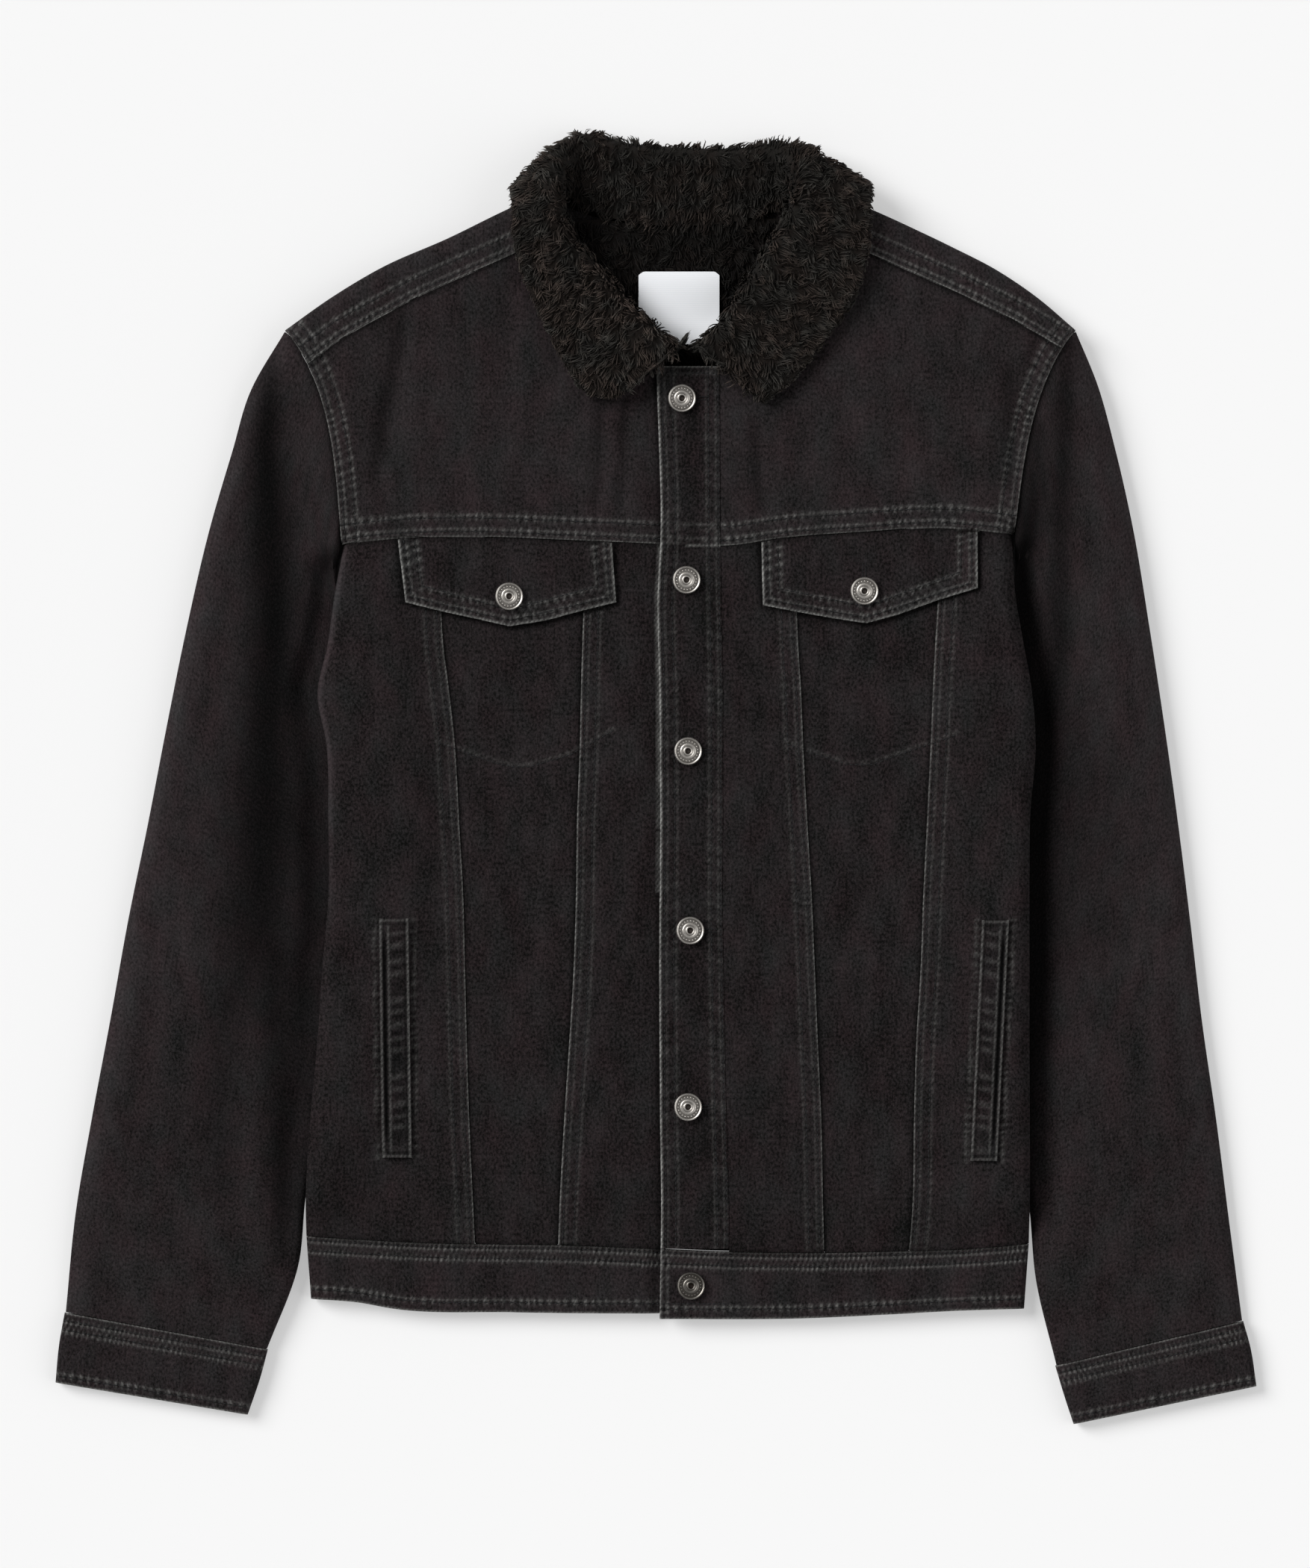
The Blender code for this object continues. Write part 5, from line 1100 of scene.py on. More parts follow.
SLEEVE_RADIUS, CUFF_RADIUS = 7.0, 4.5  # of their folds
SLEEVE_LENGTH, CUFF_LENGTH = 620, 41
ARM_PIT_DROP = 5.4
for side, sign in SIDES:
    parts = np.linspace(0, 1, 140)
    x, y, height, crease, d, level, across, part = tube(side, SLEEVE[side], parts, 3.0, SLEEVE_RADIUS, True)
    outer_round = np.where(level > 0, rounding(across, 16.0), 1.0)
    depth, shade = troughs(side, x, y)
    crease = crease * 0.5 - np.where(level > 0, np.minimum(depth, height * 0.3), 0.0)
    z = height / 2 + (level * height / 2 + crease) * rounding(d, SLEEVE_RADIUS) * outer_round
    # At the armpit the sleeve's under side swells in below the body, so that no gap shows there.
    low_part = np.where(level < 0, np.clip(1 - 2 * z / height, 0, 1), 0.0)
    from_inner = across.max(axis=1, keepdims=True) - across
    below_pit = y - SLEEVE[side][0, 4] + ARM_PIT_DROP
    swelling = bell(np.where(below_pit > 0, below_pit, below_pit / 2), 12)
    x = x + sign * 8.0 * low_part**2 * ease((12 - from_inner) / 8) * swelling
    # Painted shadow of the armhole seam's edge; the troughs add painted shade, on the upper side only.
    dark = sewn(x, y, [(ARMHOLE_ROWS[side][0], sign, (), 0.5, 0.0)])[2]
    # The outer fold gets a painted highlight, and the sleeve is darker towards the cuff.
    tone = 0.16 - 0.09 * ease((-80 - y) / 150) + 0.14 * ease(1 - across / 20) * (level > 0)
    cloth(f"sleeve_{side}", np.stack([x, y, z], -1), denim, ring=True,
          tone=tone, dark=np.clip(dark + shade, 0, DARKEST) * (level > 0),
          lay=(across + 0 * part, part * SLEEVE_LENGTH + 0 * across))

CUFF_ROWS = {}  # below the seam and above the hem
cuff_pieces = []
for side, sign in SIDES:
    top_row, low_row = CUFF[side][[0, -1]]
    CUFF_ROWS[side] = ((top_row[1:5].reshape(2, 2), -sign, (4.6, 10.2), 0.5, 0.9),
                       (low_row[1:5].reshape(2, 2), sign, (4.5,), 0.6, 0.9))
    parts = shares(CUFF_LENGTH, True, True, 1.3)
    x, y, height, crease, d, level, across, part = tube(side, CUFF[side], parts, 1.05, CUFF_RADIUS, False)
    below_seam = sewn(x, y, CUFF_ROWS[side][:1], 0.5)
    above_hem = sewn(x, y, CUFF_ROWS[side][1:])
    swell, wear_and_tip_light, dark = (a + b for a, b in zip(below_seam, above_hem))
    z = height / 2 + (level * height / 2 + level * swell) * rounding(d, CUFF_RADIUS)
    cuff_pieces.append(cloth(f"cuff_{side}", np.stack([x, y, z], -1), denim, ring=True,
                             thickness=2.0, wear_and_tip_light=wear_and_tip_light, dark=np.clip(dark, 0, DARKEST), tone=0.08,
                             lay=(across + 0 * part, part * CUFF_LENGTH + 0 * across)))

# ---------------------------------------------------------------- Topstitching
# Tonal core-spun thread, about 8 stitches to the inch: short dark loops that sink into the cloth
# along every lap, hem and turned edge.
# Spun polyester thread: a dull black cord, slightly smoother than the denim.
thread, tree, surface = new_material("black core-spun sewing thread")
twist = add(tree, "ShaderNodeTexNoise", {
    "Vector": add(tree, "ShaderNodeTexCoord").outputs["Object"], "Scale": 700.0, "Detail": 1.0})
thread_colour = mixed(twist.outputs["Fac"], linear("#121213"), linear("#262627"))
tree.links.new(thread_colour, surface.inputs["Base Color"])
surface.inputs["Roughness"].default_value = 0.65
surface.inputs["Specular IOR Level"].default_value = 0.2
OVERHEAD = 0.2  # metres above the floor, clear of the jacket


def beside(path, distance):
    """The path moved sideways in plan, over 0 to the left of its run."""
    path = np.asarray(path, float)
    way = np.gradient(path, axis=0)
    way /= np.linalg.norm(way, axis=1, keepdims=True)
    return path + np.stack([-way[:, 1], way[:, 0]], -1) * distance


def stitches(name, runs, pieces, width=0.42, pitch=3.1):
    """Rows of stitches laid on the pieces: one low closed loop of thread for each stitch."""
    vertices, polygons = [], []
    for piece in pieces:
        base = len(vertices)
        vertices.extend(v.co.copy() for v in piece.data.vertices)
        polygons.extend([base + i for i in p.vertices] for p in piece.data.polygons)
    ground = BVHTree.FromPolygons(vertices, polygons)
    centres, ways, ups = [], [], []
    for run in runs:
        steps = np.linalg.norm(np.diff(run, axis=0), axis=1)
        length = np.concatenate([[0], np.cumsum(steps)])
        at = np.arange(pitch * 0.6, length[-1] - pitch * 0.4, pitch)
        px = np.interp(at, length, run[:, 0])
        py = np.interp(at, length, run[:, 1])
        wx = np.interp(at + 0.5, length, run[:, 0]) - np.interp(at - 0.5, length, run[:, 0])
        wy = np.interp(at + 0.5, length, run[:, 1]) - np.interp(at - 0.5, length, run[:, 1])
        for i in range(len(at)):
            hit, up = ground.ray_cast(Vector((px[i] * MM, py[i] * MM, OVERHEAD)), Vector((0, 0, -1)))[:2]
            if hit is None or up.z < 0.3:
                continue
            centres.append(hit)
            ways.append((wx[i], wy[i], 0.0))
            ups.append(up)
    centre = np.array(centres) / MM
    up = np.array(ups)
    way = np.array(ways)
    way -= up * (way * up).sum(1, keepdims=True)
    way /= np.linalg.norm(way, axis=1, keepdims=True)
    square = np.cross(up, way)
    half = pitch * 0.43
    points = []
    for along_thread, rise, size in ((-half, -0.12, 0.5), (0.0, 0.16, 1.0), (half, -0.12, 0.5)):
        middle_line = centre + way * along_thread + up * rise
        for sideways, upwards in ((-1, 0), (0, 1), (1, 0), (0, -1)):
            arm = square * sideways * width * size + up * upwards * width * 0.8 * size
            points.append(middle_line + arm)
    one = np.vstack([quads(np.arange(12).reshape(3, 4), True), [(3, 2, 1, 0), (8, 9, 10, 11)]])[:, ::-1]
    faces = (one[None] + (np.arange(len(centre)) * 12)[:, None, None]).reshape(-1, 4)
    mesh_piece(name, np.stack(points, 1).reshape(-1, 3), faces.tolist(), thread, {})


def rows_of(*seams):
    """Plan paths of the stitch rows of some seams."""
    return [beside(path, side * row) for path, side, rows, edge, pull in seams for row in rows]


stitches("stitching_fronts", rows_of(SEAM_A, SEAM_B, SEAM_C, SEAM_D, *BAGS), lower_pieces)
stitches("stitching_yokes", rows_of(YOKE_ROWS, *ARMHOLE_ROWS.values(), *SHOULDER_ROWS.values()), yoke_pieces)
flap_runs = []
for side, knots in FLAP.items():
    corners = np.vstack([knots[:1, :2], knots[:1, 2:], knots[3:4, 2:], knots[-1:, 2:], knots[-1:, :2]])
    for inset in FLAP_INSETS:
        left_in = corners[0] + (inset, 0), corners[1] + (inset + 0.4, inset)
        tip = corners[2] + (0, inset * 1.02)
        right_in = corners[3] + (-inset - 0.2, inset), corners[4] + (-inset, 0)
        flap_runs.append(np.array([*left_in, tip, *right_in]))
stitches("stitching_flaps", flap_runs, flap_pieces)
stitches("stitching_placket", rows_of(EDGE_ROWS, PLACKET_ROWS) + [np.array([(2.0, 246.0), (38.0, 246.0)])],
         [placket_piece])
stitches("stitching_waistband", rows_of(WAIST_ROWS, *HEM_ROWS.values()), [waistband])
# Buttonholes: close stitching along both lips of a slit, beside each button.
for name, buttons, pieces, ends in (
    ("placket", (1, 2, 3, 4, 5), [placket_piece], ((8.2, 0.0), (16.5, 0.0))),
    ("flaps", ("flap_left", "flap_right"), flap_pieces, ((0.0, 8.4), (0.0, 17.8))),
):
    hole_runs = []
    for button in buttons:
        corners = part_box(f"button_{button}")
        at = np.array((corners[0] + corners[1]) / 2 / MM)[:2]
        lip = np.array(ends)[0, ::-1] / np.max(ends[0]) * 0.9
        hole_runs += [at + np.array(ends) + way * lip for way in (-1, 1)]
    stitches(f"buttonholes_{name}", hole_runs, pieces, 0.5, 0.9)
stitches("stitching_cuffs", rows_of(*CUFF_ROWS["left"], *CUFF_ROWS["right"]), cuff_pieces)

# ---------------------------------------------------------------- Neck lining
# Sherpa fleece on the inside of the back yoke, which shows in the neck: a knitted ground under a
# curly pile about 6 mm long.
LINING_SHORT = 21.0  # of the neckline, at both neck points
LABEL_GROUND = 1.5  # below the middle of the body
plan = back_yoke_plan(np.linspace(0.25, 1, 30))[:, shoulder_columns - 1:shoulder_columns + NECK_COLUMNS + 1]
column = np.arange(plan.shape[1])
from_point = np.minimum(column, column[::-1]) / column[-1] * 10
short = np.interp(from_point, (0, 1, 2), (LINING_SHORT, LINING_SHORT / 4, 0))
x, y = plan[..., 0], plan[..., 1]
shortened = np.minimum(y, y[-1] - short + np.linspace(-4, 0, len(y))[:, None])
y = np.where(short > 0, shortened, y)
low, middle, high = body_levels(x, y)
lining_points = np.stack([x, y, middle - LABEL_GROUND - 0.3], -1)

# Sherpa fleece: acrylic pile brushed into small curls on a knit, deep brown-black. Light and
# shade are painted along each strand: its tip paler as if lit, its root almost black as if in shade.
sherpa, tree, surface = new_material("curled acrylic sherpa fleece")
object_place = add(tree, "ShaderNodeTexCoord").outputs["Object"]
curl_noise = add(tree, "ShaderNodeTexNoise", {
    "Vector": object_place, "Scale": 900.0, "Detail": 2.0, "Roughness": 0.6}).outputs["Fac"]
dye_noise = add(tree, "ShaderNodeTexNoise", {
    "Vector": object_place, "Scale": 75.0, "Detail": 2.0}).outputs["Fac"]
strand_tone = combine("MULTIPLY", point_value("wear_and_tip_light"), point_value("tone"))
lit = combine("MULTIPLY", strand_tone, mapped(curl_noise, 0.7, 1.3), True)
pile_tip = mixed(mapped(dye_noise, 0.0, 1.0, 0.40, 0.60), linear("#534943"), linear("#4c4a46"))
dressed(mixed(lit, linear("#0b0908"), pile_tip), curl_noise, 0.6, 0.0008)
surface.inputs["Roughness"].default_value = 0.95
surface.inputs["Specular IOR Level"].default_value = 0.04
surface.inputs["Sheen Weight"].default_value = 0.02
surface.inputs["Sheen Roughness"].default_value = 0.6

cloth("neck_lining", lining_points, sherpa, step=1, thickness=2.0, wear_and_tip_light=0.1, tone=0.3)
chance = np.random.default_rng(41)


def unit(vectors):
    """The vectors at length 1."""
    return vectors / np.maximum(np.linalg.norm(vectors, axis=-1, keepdims=True), 1e-9)


def pile(name, points, growth, spacing=1.6, length=7.5, room=None, shade=1.0, shown=None):
    """Strands of pile rooted all over a grid of points, leaning along the growth at each point.

    They swirl a little, and those of one curl run together at their tips. room is how far the
    strands of each point may reach, shade is the painted shade that scales their paleness, and
    shown tells which roots aren't covered. A strand is three triangles of points and a tip."""
    normal = unit(np.cross(np.gradient(points, axis=0), np.gradient(points, axis=1)))
    corner = points[:-1, :-1]
    cell = np.linalg.norm(np.cross(points[1:, :-1] - corner, points[:-1, 1:] - corner), axis=2)
    wanted = cell / spacing**2 * (normal[:-1, :-1, 2] > -0.6)
    number = np.floor(wanted + chance.random(wanted.shape)).astype(int)
    r, c = (np.repeat(found, number[number > 0]) for found in np.nonzero(number))
    a, b = chance.random((2, len(r), 1))

    def at(field):
        """The field's value at each root, from the four corners round it."""
        low_side = field[r, c] * (1 - b) + field[r, c + 1] * b
        high_side = field[r + 1, c] * (1 - b) + field[r + 1, c + 1] * b
        return low_side * (1 - a) + high_side * a

    fields = [points, normal, growth]
    fields += [np.broadcast_to(np.asarray(extra, float), points.shape[:2])[..., None]
               for extra in (99.0 if room is None else room, shade)]
    root, up, way, reach, shaded = (at(field) for field in fields)
    if shown is not None:
        seen = shown(root[:, 0], root[:, 1])
        root, up, way, reach, shaded = (field[seen] for field in (root, up, way, reach, shaded))
    count = len(root)
    px, py = root[:, :1], root[:, 1:2]
    swirl = 0.7 * np.sin(px / 1.9 + 1.3 * np.sin(py / 2.6)) + 0.6 * np.sin(py / 1.7 + 1.5 * np.sin(px / 3.3))
    swirl += chance.normal(0, 0.25, (count, 1))
    up = unit(up)
    way = unit(way - up * (way * up).sum(1, keepdims=True))
    way = way * np.cos(swirl) + np.cross(up, way) * np.sin(swirl)
    square = np.cross(up, way)
    long = np.minimum(length * chance.uniform(0.75, 1.25, (count, 1)), np.maximum(reach, 1.5))
    rise = chance.uniform(1.0, 2.6, (count, 1)) * np.minimum(long / length, 1)
    bend = chance.normal(0, 1.1, (count, 1))
    # Curls: each strand leans towards the middle strand of the nearest curl.
    leaders = chance.choice(count, max(2, int(count * (spacing / 4.6) ** 2)), replace=False)
    nearest = np.concatenate([
        leaders[np.argmin(((root[i:i + 500, None] - root[leaders][None]) ** 2).sum(2), 1)]
        for i in range(0, count, 500)
    ])
    meet = root[nearest] + way[nearest] * long + up[nearest] * rise
    strands = []
    for share, girth in ((0.0, 0.9), (0.35, 1.0), (0.7, 0.75), (1.0, 0.0)):
        own = root + way * long * share**1.1 + square * bend * share**2
        own = own + up * (rise * math.sin(0.75 * math.pi * share) - 0.5)
        place = own + (meet - own) * 0.65 * share**2
        if girth == 0:
            strands.append(place)
            continue
        thick = girth * 0.47 * chance.uniform(0.8, 1.2, (count, 1))
        for turn_by in (90, 210, 330):
            arm = square * math.cos(math.radians(turn_by)) + up * math.sin(math.radians(turn_by))
            strands.append(place + arm * thick)
    verts = np.stack(strands, 1).reshape(-1, 3)
    verts[:, 2] = np.maximum(verts[:, 2], 2 * ABOVE_FLOOR)
    sides = quads(np.arange(9).reshape(3, 3), True)
    ends = np.array([(6, 7, 9), (7, 8, 9), (8, 6, 9), (2, 1, 0)])
    offsets = (np.arange(count) * 10)[:, None, None]
    polygons = (sides[None] + offsets).reshape(-1, 4).tolist()
    polygons += (ends[None] + offsets).reshape(-1, 3).tolist()
    # Curls and strands differ in tone at random, scaled by the painted shade of their place; along each
    # strand the tip is painted paler as if lit and the root almost black as if in shade.
    curl_tone = chance.uniform(0.38, 1.1, count)[nearest] * chance.uniform(0.55, 1.2, count) * shaded[:, 0]
    paler = np.tile([0.05] * 3 + [0.35] * 3 + [0.85] * 3 + [1.0], count)
    mesh_piece(name, verts, polygons, sherpa, {"wear_and_tip_light": paler, "tone": np.repeat(curl_tone, 10)})


# ---------------------------------------------------------------- Collar
# A turn-down collar of the same sherpa: it stands round the neck, rolls over and falls on the
# yokes, its two points meeting above the top button.
COLLAR_HALF_WALL = 3.75
PILE_ROOM = 2.2  # of the wall, taken up by the pile
COLLAR = (
    # seam x, y     rise x, y     roll x, y     turn x, y     fall x, y     edge x, y
    (9, 256, 11, 258, 14.5, 261, 9, 256.5, -8, 243, -26, 231),
    (-12, 274.6, -10.6, 276.2, -7.7, 278.4, -12.5, 274.5, -30, 259, -45.5, 237.5),
    (-33, 297, -31.8, 298.6, -30, 302.8, -36, 298, -52, 284, -63, 268),
    (-50.6, 319, -49.6, 321, -48.2, 323.8, -54.5, 320.5, -68, 308, -77, 298),
    (-58.2, 335, -57.6, 338, -57, 343, -65, 341.5, -77, 333, -85.5, 324),
    (-58.6, 345.5, -57, 350.5, -59.5, 357.5, -68.5, 357.5, -79.5, 352.5, -86.5, 346),
    (-56.5, 352.5, -55.5, 358.5, -61, 366.5, -70, 366.5, -80, 362.5, -86.5, 358),
    (-53, 354, -53.5, 363.5, -60.5, 377, -68.5, 373, -77.5, 365, -81, 341),
    (-43, 347.2, -43, 377, -43, 390.9, -46, 382, -49, 362, -52, 328),
    (-16, 338.2, -16, 377, -16, 385, -16, 378, -16, 352, -18, 317.5),
    (19, 336, 20, 375, 21, 382.2, 21, 375.5, 20, 348, 19, 313.5),
    (49, 338.8, 49.5, 375, 50, 382.2, 51, 376, 52, 352, 54, 317),
    (71.5, 346.5, 74, 373.5, 77, 385.2, 80.5, 377.5, 84, 360, 87, 328),
    (82, 354, 83, 364, 90.5, 379, 99.5, 375, 112, 367.5, 116, 342),
    (87.6, 353.5, 85, 359.5, 89.5, 369.5, 99.5, 370, 117, 366, 129.5, 360),
    (88.8, 348.5, 86.6, 352.5, 86, 360, 95.5, 360.5, 115, 355.5, 130, 347),
    (88.2, 338, 85.8, 340.5, 81.5, 344, 89.5, 343.5, 110, 334, 128.5, 322),
    (73, 310.6, 71, 313, 67.5, 319, 74, 315, 97, 303, 121, 293),
    (60.6, 292.6, 58, 294.5, 54.5, 298.5, 60, 294, 82, 276, 105, 270),
    (47, 271.9, 45, 273.7, 40.8, 277.5, 46.5, 273, 64, 257.5, 84, 243.5),
    (32.5, 255.5, 30, 257.5, 24.3, 261.5, 29.5, 257, 47, 243.5, 65, 228.5),
)
COLLAR_HEIGHT = (
    (19, 21.5, 27, 32.5, 30.5, 29), (18, 20.5, 26.5, 32.5, 29.5, 27.6),
    (18, 20.5, 26.5, 33, 29.5, 27.6), (19, 21.5, 28.5, 35, 31, 28.6),
    (20.5, 24, 32, 36.5, 32.5, 29.6), (19.5, 25.5, 36.5, 36, 31, 28.4),
    (17.6, 24.5, 34.5, 28.5, 20, 15), (15.2, 21, 27, 19, 7.2, 4),
    (13.4, 16, 10.5, 4.6, 3.85, 3.75), (13.4, 13.8, 9, 4.2, 3.75, 3.75),
    (13.4, 13.4, 8.8, 4.1, 3.75, 3.75),
)


def collar_section(seam, rise, roll, turn_point, fall, edge):
    """Path across the collar: the stand, an elliptic arc over the roll, and the fall."""
    centre = (rise + turn_point) / 2
    path = [seam + (rise - seam) * t for t in (0, 0.33, 0.67, 1.0)]
    for angle in (22, 45, 68, 90, 112, 135, 158):
        a = math.radians(angle)
        path.append(centre + (rise - centre) * math.cos(a) + (roll - centre) * math.sin(a))
    for t in np.linspace(0, 1, 12):
        path.append(turn_point * (1 - t) * (1 - 2 * t) + fall * 4 * t * (1 - t) + edge * t * (2 * t - 1))
    return path


heights = COLLAR_HEIGHT + COLLAR_HEIGHT[-2::-1]
control = np.array([
    [(row[2 * i], row[2 * i + 1], level[i]) for i in range(6)] for row, level in zip(COLLAR, heights)
])
sections = np.arange(len(control), dtype=float)
along = np.linspace(0, len(control) - 1, 6 * len(control) - 5)
finer = np.stack([
    smooth_curve(np.stack([sections, column], -1), along) for column in control.reshape(len(control), -1).T
], -1)
collar_middle = np.array([collar_section(*row) for row in finer.reshape(len(along), -1, 3)])
across_way = np.gradient(collar_middle, axis=1)
round_way = np.gradient(collar_middle, axis=0)
collar_normal = np.cross(round_way, across_way)
collar_normal /= np.linalg.norm(collar_normal, axis=2, keepdims=True)
collar_outer = collar_middle + collar_normal * (COLLAR_HALF_WALL - PILE_ROOM)
collar_outer[..., 2] = np.maximum(collar_outer[..., 2], 0.6)
cloth("collar", collar_outer, sherpa, step=1,
      thickness=2 * COLLAR_HALF_WALL - PILE_ROOM, wear_and_tip_light=0.15, tone=0.7)
# The pile hangs down the stand into the neck, and outwards over the roll to the edge of the fall.
steps = np.linalg.norm(np.diff(collar_outer, axis=1), axis=2)
to_edge = np.concatenate([np.cumsum(steps[:, ::-1], axis=1)[:, ::-1], np.zeros((len(along), 1))], 1) + 0.8
place_across = np.arange(collar_outer.shape[1])
flow = unit(across_way) * (2 * ease((place_across - 2) / 6) - 1)[None, :, None]
# Beside the two front ends it leans out over them, so that the halves meet.
to_end = np.minimum(np.arange(len(along)), np.arange(len(along))[::-1])
flow[:8] -= 1.6 * unit(round_way[:8]) * ease(1 - to_end[:8] / 7)[:, None, None]
flow[-8:] += 1.6 * unit(round_way[-8:]) * ease(1 - to_end[-8:] / 7)[:, None, None]
# The pile on the stand, down inside the neck, is painted darker as shade.
inside_shade = 0.5 + 0.5 * ease((place_across - 4) / 5)
# The roll's left corner is deep, so its stand is painted darker still, as shade.
in_corner = bell(collar_outer[..., 0] + 47, 14) * bell(collar_outer[..., 1] - 355, 26)
pile_shade = inside_shade * (1 - 0.7 * in_corner * (place_across < 9))
# Painted light and shade for each third of the pile: the back paler, the right side darker.
PART_SHADE = {"left": 1.06, "back": 1.34, "right": 0.92}
thirds = {"left": slice(0, 46), "back": slice(45, 77), "right": slice(76, len(along))}
for part_name, third in thirds.items():
    pile(f"collar_pile_{part_name}", collar_outer[third], flow[third], room=to_edge[third],
         shade=pile_shade[third] * PART_SHADE[part_name])
depths = (0.0, 2.6, 5.2)
end_reach = 3.0 + 11.0 * bell(place_across - 9, 7)
edge_rim = np.stack([collar_outer[:, -1] - collar_normal[:, -1] * t for t in depths], 1)
pile("collar_pile_edge", edge_rim, np.repeat(across_way[:, -1:], 3, 1), length=2.2)
for end, end_name, outwards in ((0, "left", -1.0), (-1, "right", 1.0)):
    end_rim = np.stack([collar_outer[end] - collar_normal[end] * t for t in depths], 0)[::-int(outwards)]
    end_way = outwards * unit(round_way[end]) + 0.4 * unit(across_way[end])
    pile(f"collar_pile_front_{end_name}", end_rim, np.repeat(end_way[None], 3, 0), spacing=0.85,
         length=11.0, room=np.repeat(end_reach[None], 3, 0), shade=0.8)

# What shows of the lining lies between the two sides of the roll.
left_roll = np.array([(row[5], row[4]) for row in COLLAR[:5]])
right_roll = np.array([(row[5], row[4]) for row in COLLAR[:15:-1]])


def lining_shown(x, y):
    """Whether a root on the lining is inside the roll and clear of the label."""
    open_here = (x > smooth_curve(left_roll, y) - 8) & (x < smooth_curve(right_roll, y) + 8)
    under_label = (x > -8) & (x < 36) & (y > 263) & (y < 305)
    return open_here & ~under_label


down = np.zeros_like(lining_points)
down[..., 1] = -1.0
down[..., 0] = 0.3
# The lining's pile is painted dark as the collar's shade on it, and darker still towards the left.
pile("lining_pile", lining_points[:, ::-1], down[:, ::-1], shown=lining_shown,
     shade=0.26 - 0.16 * ease((-20 - lining_points[:, ::-1, 0]) / 30))

# ---------------------------------------------------------------- Neck label
# A blank white woven tab, its corners rounded, sewn to the lining along its top.
LABEL_LEFT, LABEL_RIGHT, LABEL_LOW, LABEL_TOP = -10.5, 38.7, 264.0, 308.0
LABEL_RISE = 3.0  # above the ground that it is sewn to, on the pile
# Damask polyester: bright, smooth and close woven, so it looks even with a faint line of ribs.
label_cloth, tree, surface = new_material("white damask label tape")
rib = add(tree, "ShaderNodeTexWave", {
    "Vector": add(tree, "ShaderNodeUVMap", uv_map="cloth").outputs["UV"], "Scale": 420.0, "Distortion": 0.6,
    "Detail": 1.0}, bands_direction="Y").outputs["Fac"]
dressed(mixed(rib, linear("#eef1f5"), linear("#fafbfd")), rib, 0.25, 0.0001)
surface.inputs["Roughness"].default_value = 0.55
surface.inputs["Specular IOR Level"].default_value = 0.3
s = np.linspace(0, 1, 40)[None, :]
t = np.linspace(0, 1, 36)[:, None]
corner_cut = 2.2 * (bell(s, 0.03) + bell(1 - s, 0.03))
x = LABEL_LEFT + (LABEL_RIGHT - LABEL_LEFT) * s + 0 * t
y = LABEL_TOP + (LABEL_LOW - LABEL_TOP) * t - corner_cut * (1 - t)
low, middle, high = body_levels(x, y)
z = middle - LABEL_GROUND + LABEL_RISE + 0.5 * np.sin(s * 5 + 1) * t
cloth("neck_label", np.stack([x, y, z], -1), label_cloth, thickness=0.5)

# ---------------------------------------------------------------- Buttons
# Eight shank buttons of die-cast zinc alloy in antique nickel: a domed rim, a band of plain beads, a
# raised ring and a dimpled centre. The one on the waistband is a darker gunmetal.
metals = []
for name, bright, deep, roughness in (
    # Antique nickel: silver grey metal, dulled and darkened in its recesses.
    ("antique nickel plate", "#d2cec8", "#a29d96", 0.42),
    # Gunmetal: darker and a little smoother.
    ("gunmetal plate", "#8b8781", "#5a5752", 0.38),
):
    metal, tree, surface = new_material(name)
    tarnish = add(tree, "ShaderNodeTexNoise", {
        "Vector": add(tree, "ShaderNodeTexCoord").outputs["Object"], "Scale": 900.0, "Detail": 3.0,
        "Roughness": 0.6}).outputs["Fac"]
    worn = mixed(tarnish, linear(bright), linear(deep))
    metal_colour = mixed(point_value("dark"), worn, linear("#241c18"))
    tree.links.new(metal_colour, surface.inputs["Base Color"])
    surface.inputs["Metallic"].default_value = 1.0
    surface.inputs["Roughness"].default_value = roughness
    metals.append(metal)
nickel, gunmetal = metals
BUTTON_RINGS = (  # radius share, height share, darkness
    (0.42, 0, 1), (0.46, 0.30, 1), (0.93, 0.36, 0.4), (1, 0.60, 0), (0.985, 0.80, 0), (0.93, 0.90, 0),
    (0.87, 0.86, 0.1), (0.83, 0.74, 0.7), (0.58, 0.76, 0.45), (0.54, 0.90, 0), (0.47, 0.95, 0),
    (0.40, 0.88, 0.25), (0.34, 0.84, 0.5), (0.30, 0.95, 0), (0.26, 0.99, 0), (0.21, 0.93, 0.3),
    (0.18, 0.66, 1), (0.06, 0.60, 0.9),
)
BEADS = 20
BEAD_SIZE, BEAD_CIRCLE, BEAD_RISE = 0.062, 0.71, 0.77  # shares of the radius and of the height
TURN = 0.4  # from one button to the next, as they come when they are hammered on
low_corner, high_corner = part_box("button_1")
radius = (high_corner.x - low_corner.x) / 2
tall = high_corner.z - low_corner.z
deselect()
bpy.ops.mesh.primitive_circle_add(vertices=40, radius=BUTTON_RINGS[0][0] * radius, fill_type="NGON",
                                  location=(0, 0, 0))
cap = bpy.context.object
bpy.ops.object.mode_set(mode="EDIT")
bpy.ops.mesh.select_all(action="SELECT")
bpy.ops.mesh.delete(type="ONLY_FACE")
bpy.ops.mesh.select_all(action="SELECT")
for (r0, h0, _), (r1, h1, _) in zip(BUTTON_RINGS[:-1], BUTTON_RINGS[1:]):
    bpy.ops.mesh.extrude_region_move(TRANSFORM_OT_translate={"value": (0, 0, (h1 - h0) * tall)})
    bpy.ops.transform.resize(value=(r1 / r0, r1 / r0, 1), center_override=(0, 0, 0))
bpy.ops.mesh.edge_face_add()
bpy.ops.object.mode_set(mode="OBJECT")
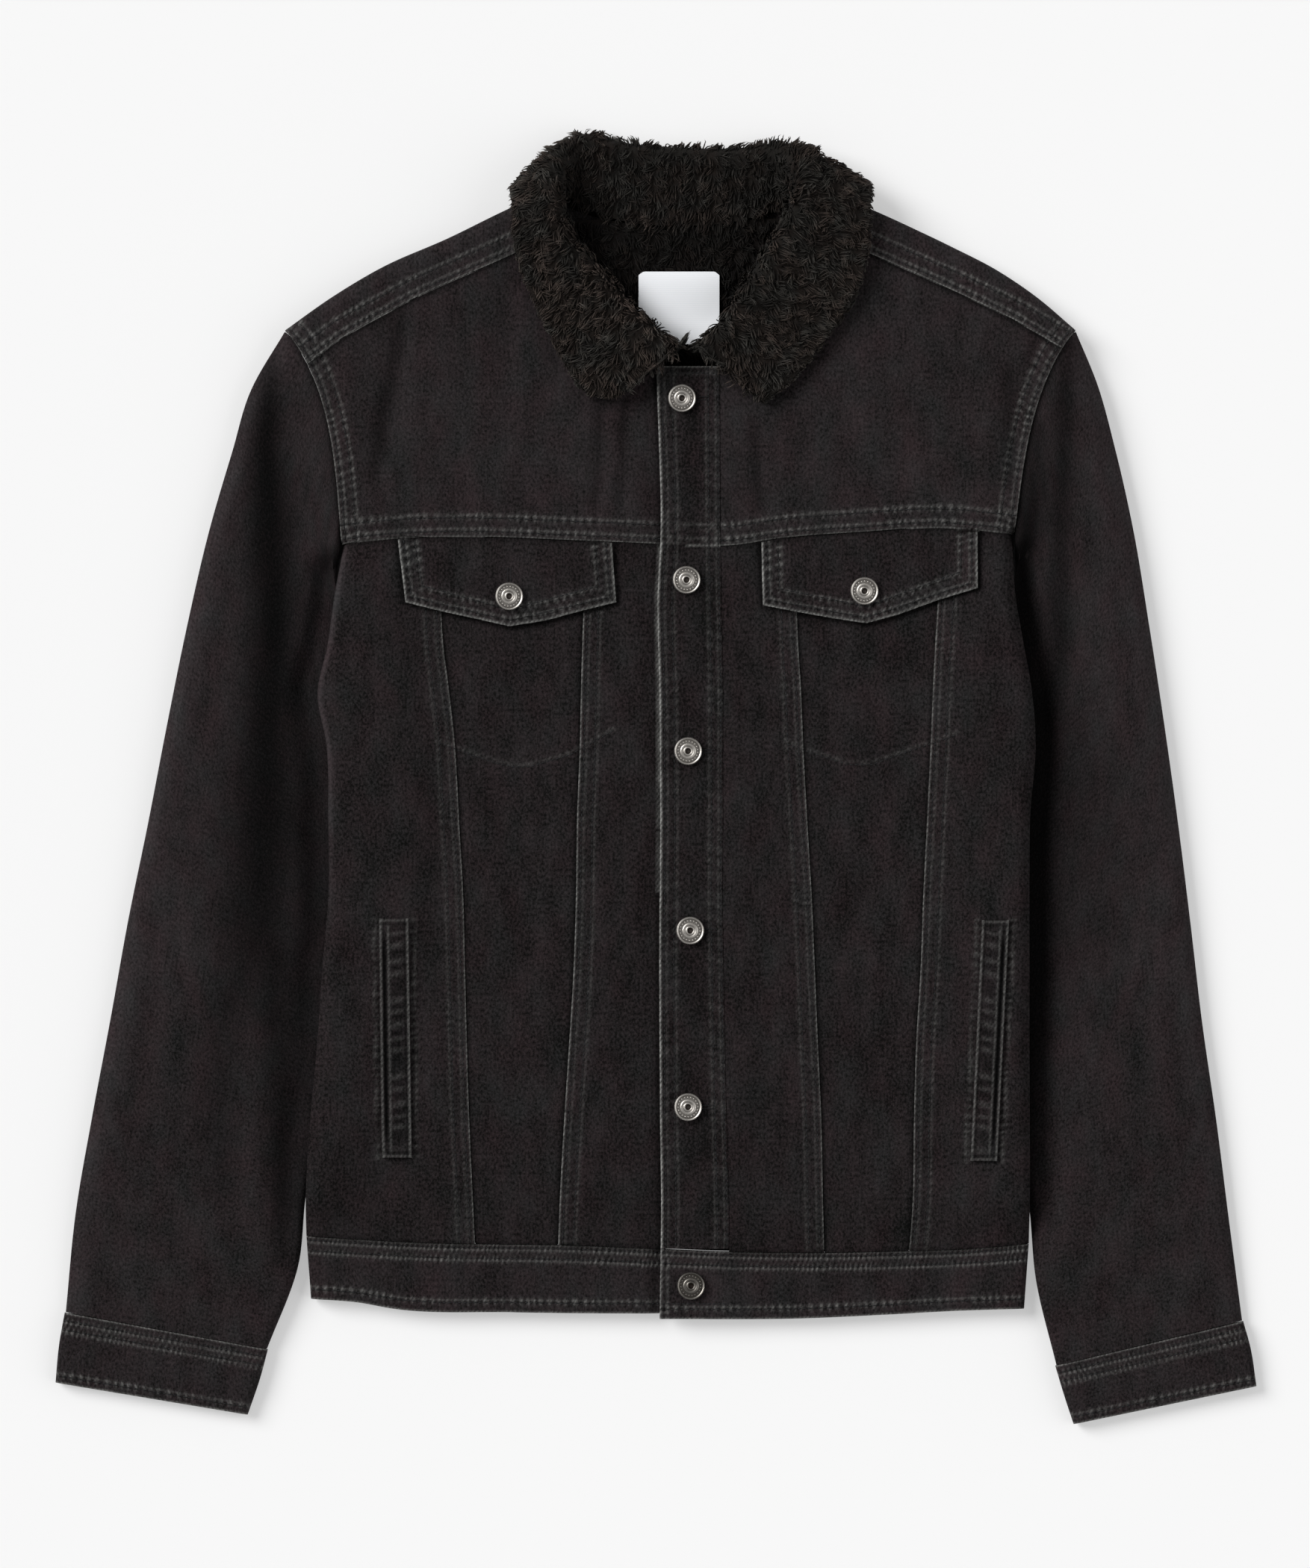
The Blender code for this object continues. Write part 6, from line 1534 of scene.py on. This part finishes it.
rings = np.array(BUTTON_RINGS)
darkness = cap.data.attributes.new("dark", "FLOAT", "POINT")
for i, vertex in enumerate(cap.data.vertices):
    share = math.hypot(vertex.co.x, vertex.co.y) / radius
    gap = np.hypot(rings[:, 0] - share, (rings[:, 1] * tall - vertex.co.z) / radius)
    darkness.data[i].value = rings[np.argmin(gap), 2]
deselect()
bpy.ops.mesh.primitive_ico_sphere_add(subdivisions=1, radius=BEAD_SIZE * radius, location=(0, 0, 0))
bead = bpy.context.object
bead.data.attributes.new("dark", "FLOAT", "POINT")
beads = []
for k in range(BEADS):
    angle = 2 * math.pi * k / BEADS
    copy = bpy.data.objects.new(f"bead {k}", bead.data.copy())
    reach = BEAD_CIRCLE * radius
    copy.location = (reach * math.cos(angle), reach * math.sin(angle), BEAD_RISE * tall)
    scene.collection.objects.link(copy)
    beads.append(copy)
bpy.data.objects.remove(bead)
deselect()
for item in beads + [cap]:
    item.select_set(True)
bpy.context.view_layer.objects.active = cap
bpy.ops.object.join()
cap.data.shade_smooth()
cap.data.set_sharp_from_angle(angle=math.radians(50))
for number, name in enumerate(("button_1", "button_2", "button_3", "button_4", "button_5", "button_waist",
                               "button_flap_left", "button_flap_right")):
    low_corner, high_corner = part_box(name)
    middle_place = (low_corner + high_corner) / 2
    mesh = cap.data.copy()
    spin = TURN * number
    turned = np.zeros(len(mesh.vertices) * 3)
    mesh.vertices.foreach_get("co", turned)
    turned = turned.reshape(-1, 3)
    placed = np.stack([
        turned[:, 0] * math.cos(spin) - turned[:, 1] * math.sin(spin) + middle_place.x,
        turned[:, 0] * math.sin(spin) + turned[:, 1] * math.cos(spin) + middle_place.y,
        turned[:, 2] + low_corner.z,
    ], -1)
    mesh.vertices.foreach_set("co", placed.ravel())
    mesh.materials.clear()
    mesh.materials.append(gunmetal if name == "button_waist" else nickel)
    piece = bpy.data.objects.new(name + "_cap", mesh)
    scene.collection.objects.link(piece)
    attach(piece, "root")
    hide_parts(name)
bpy.data.objects.remove(cap)
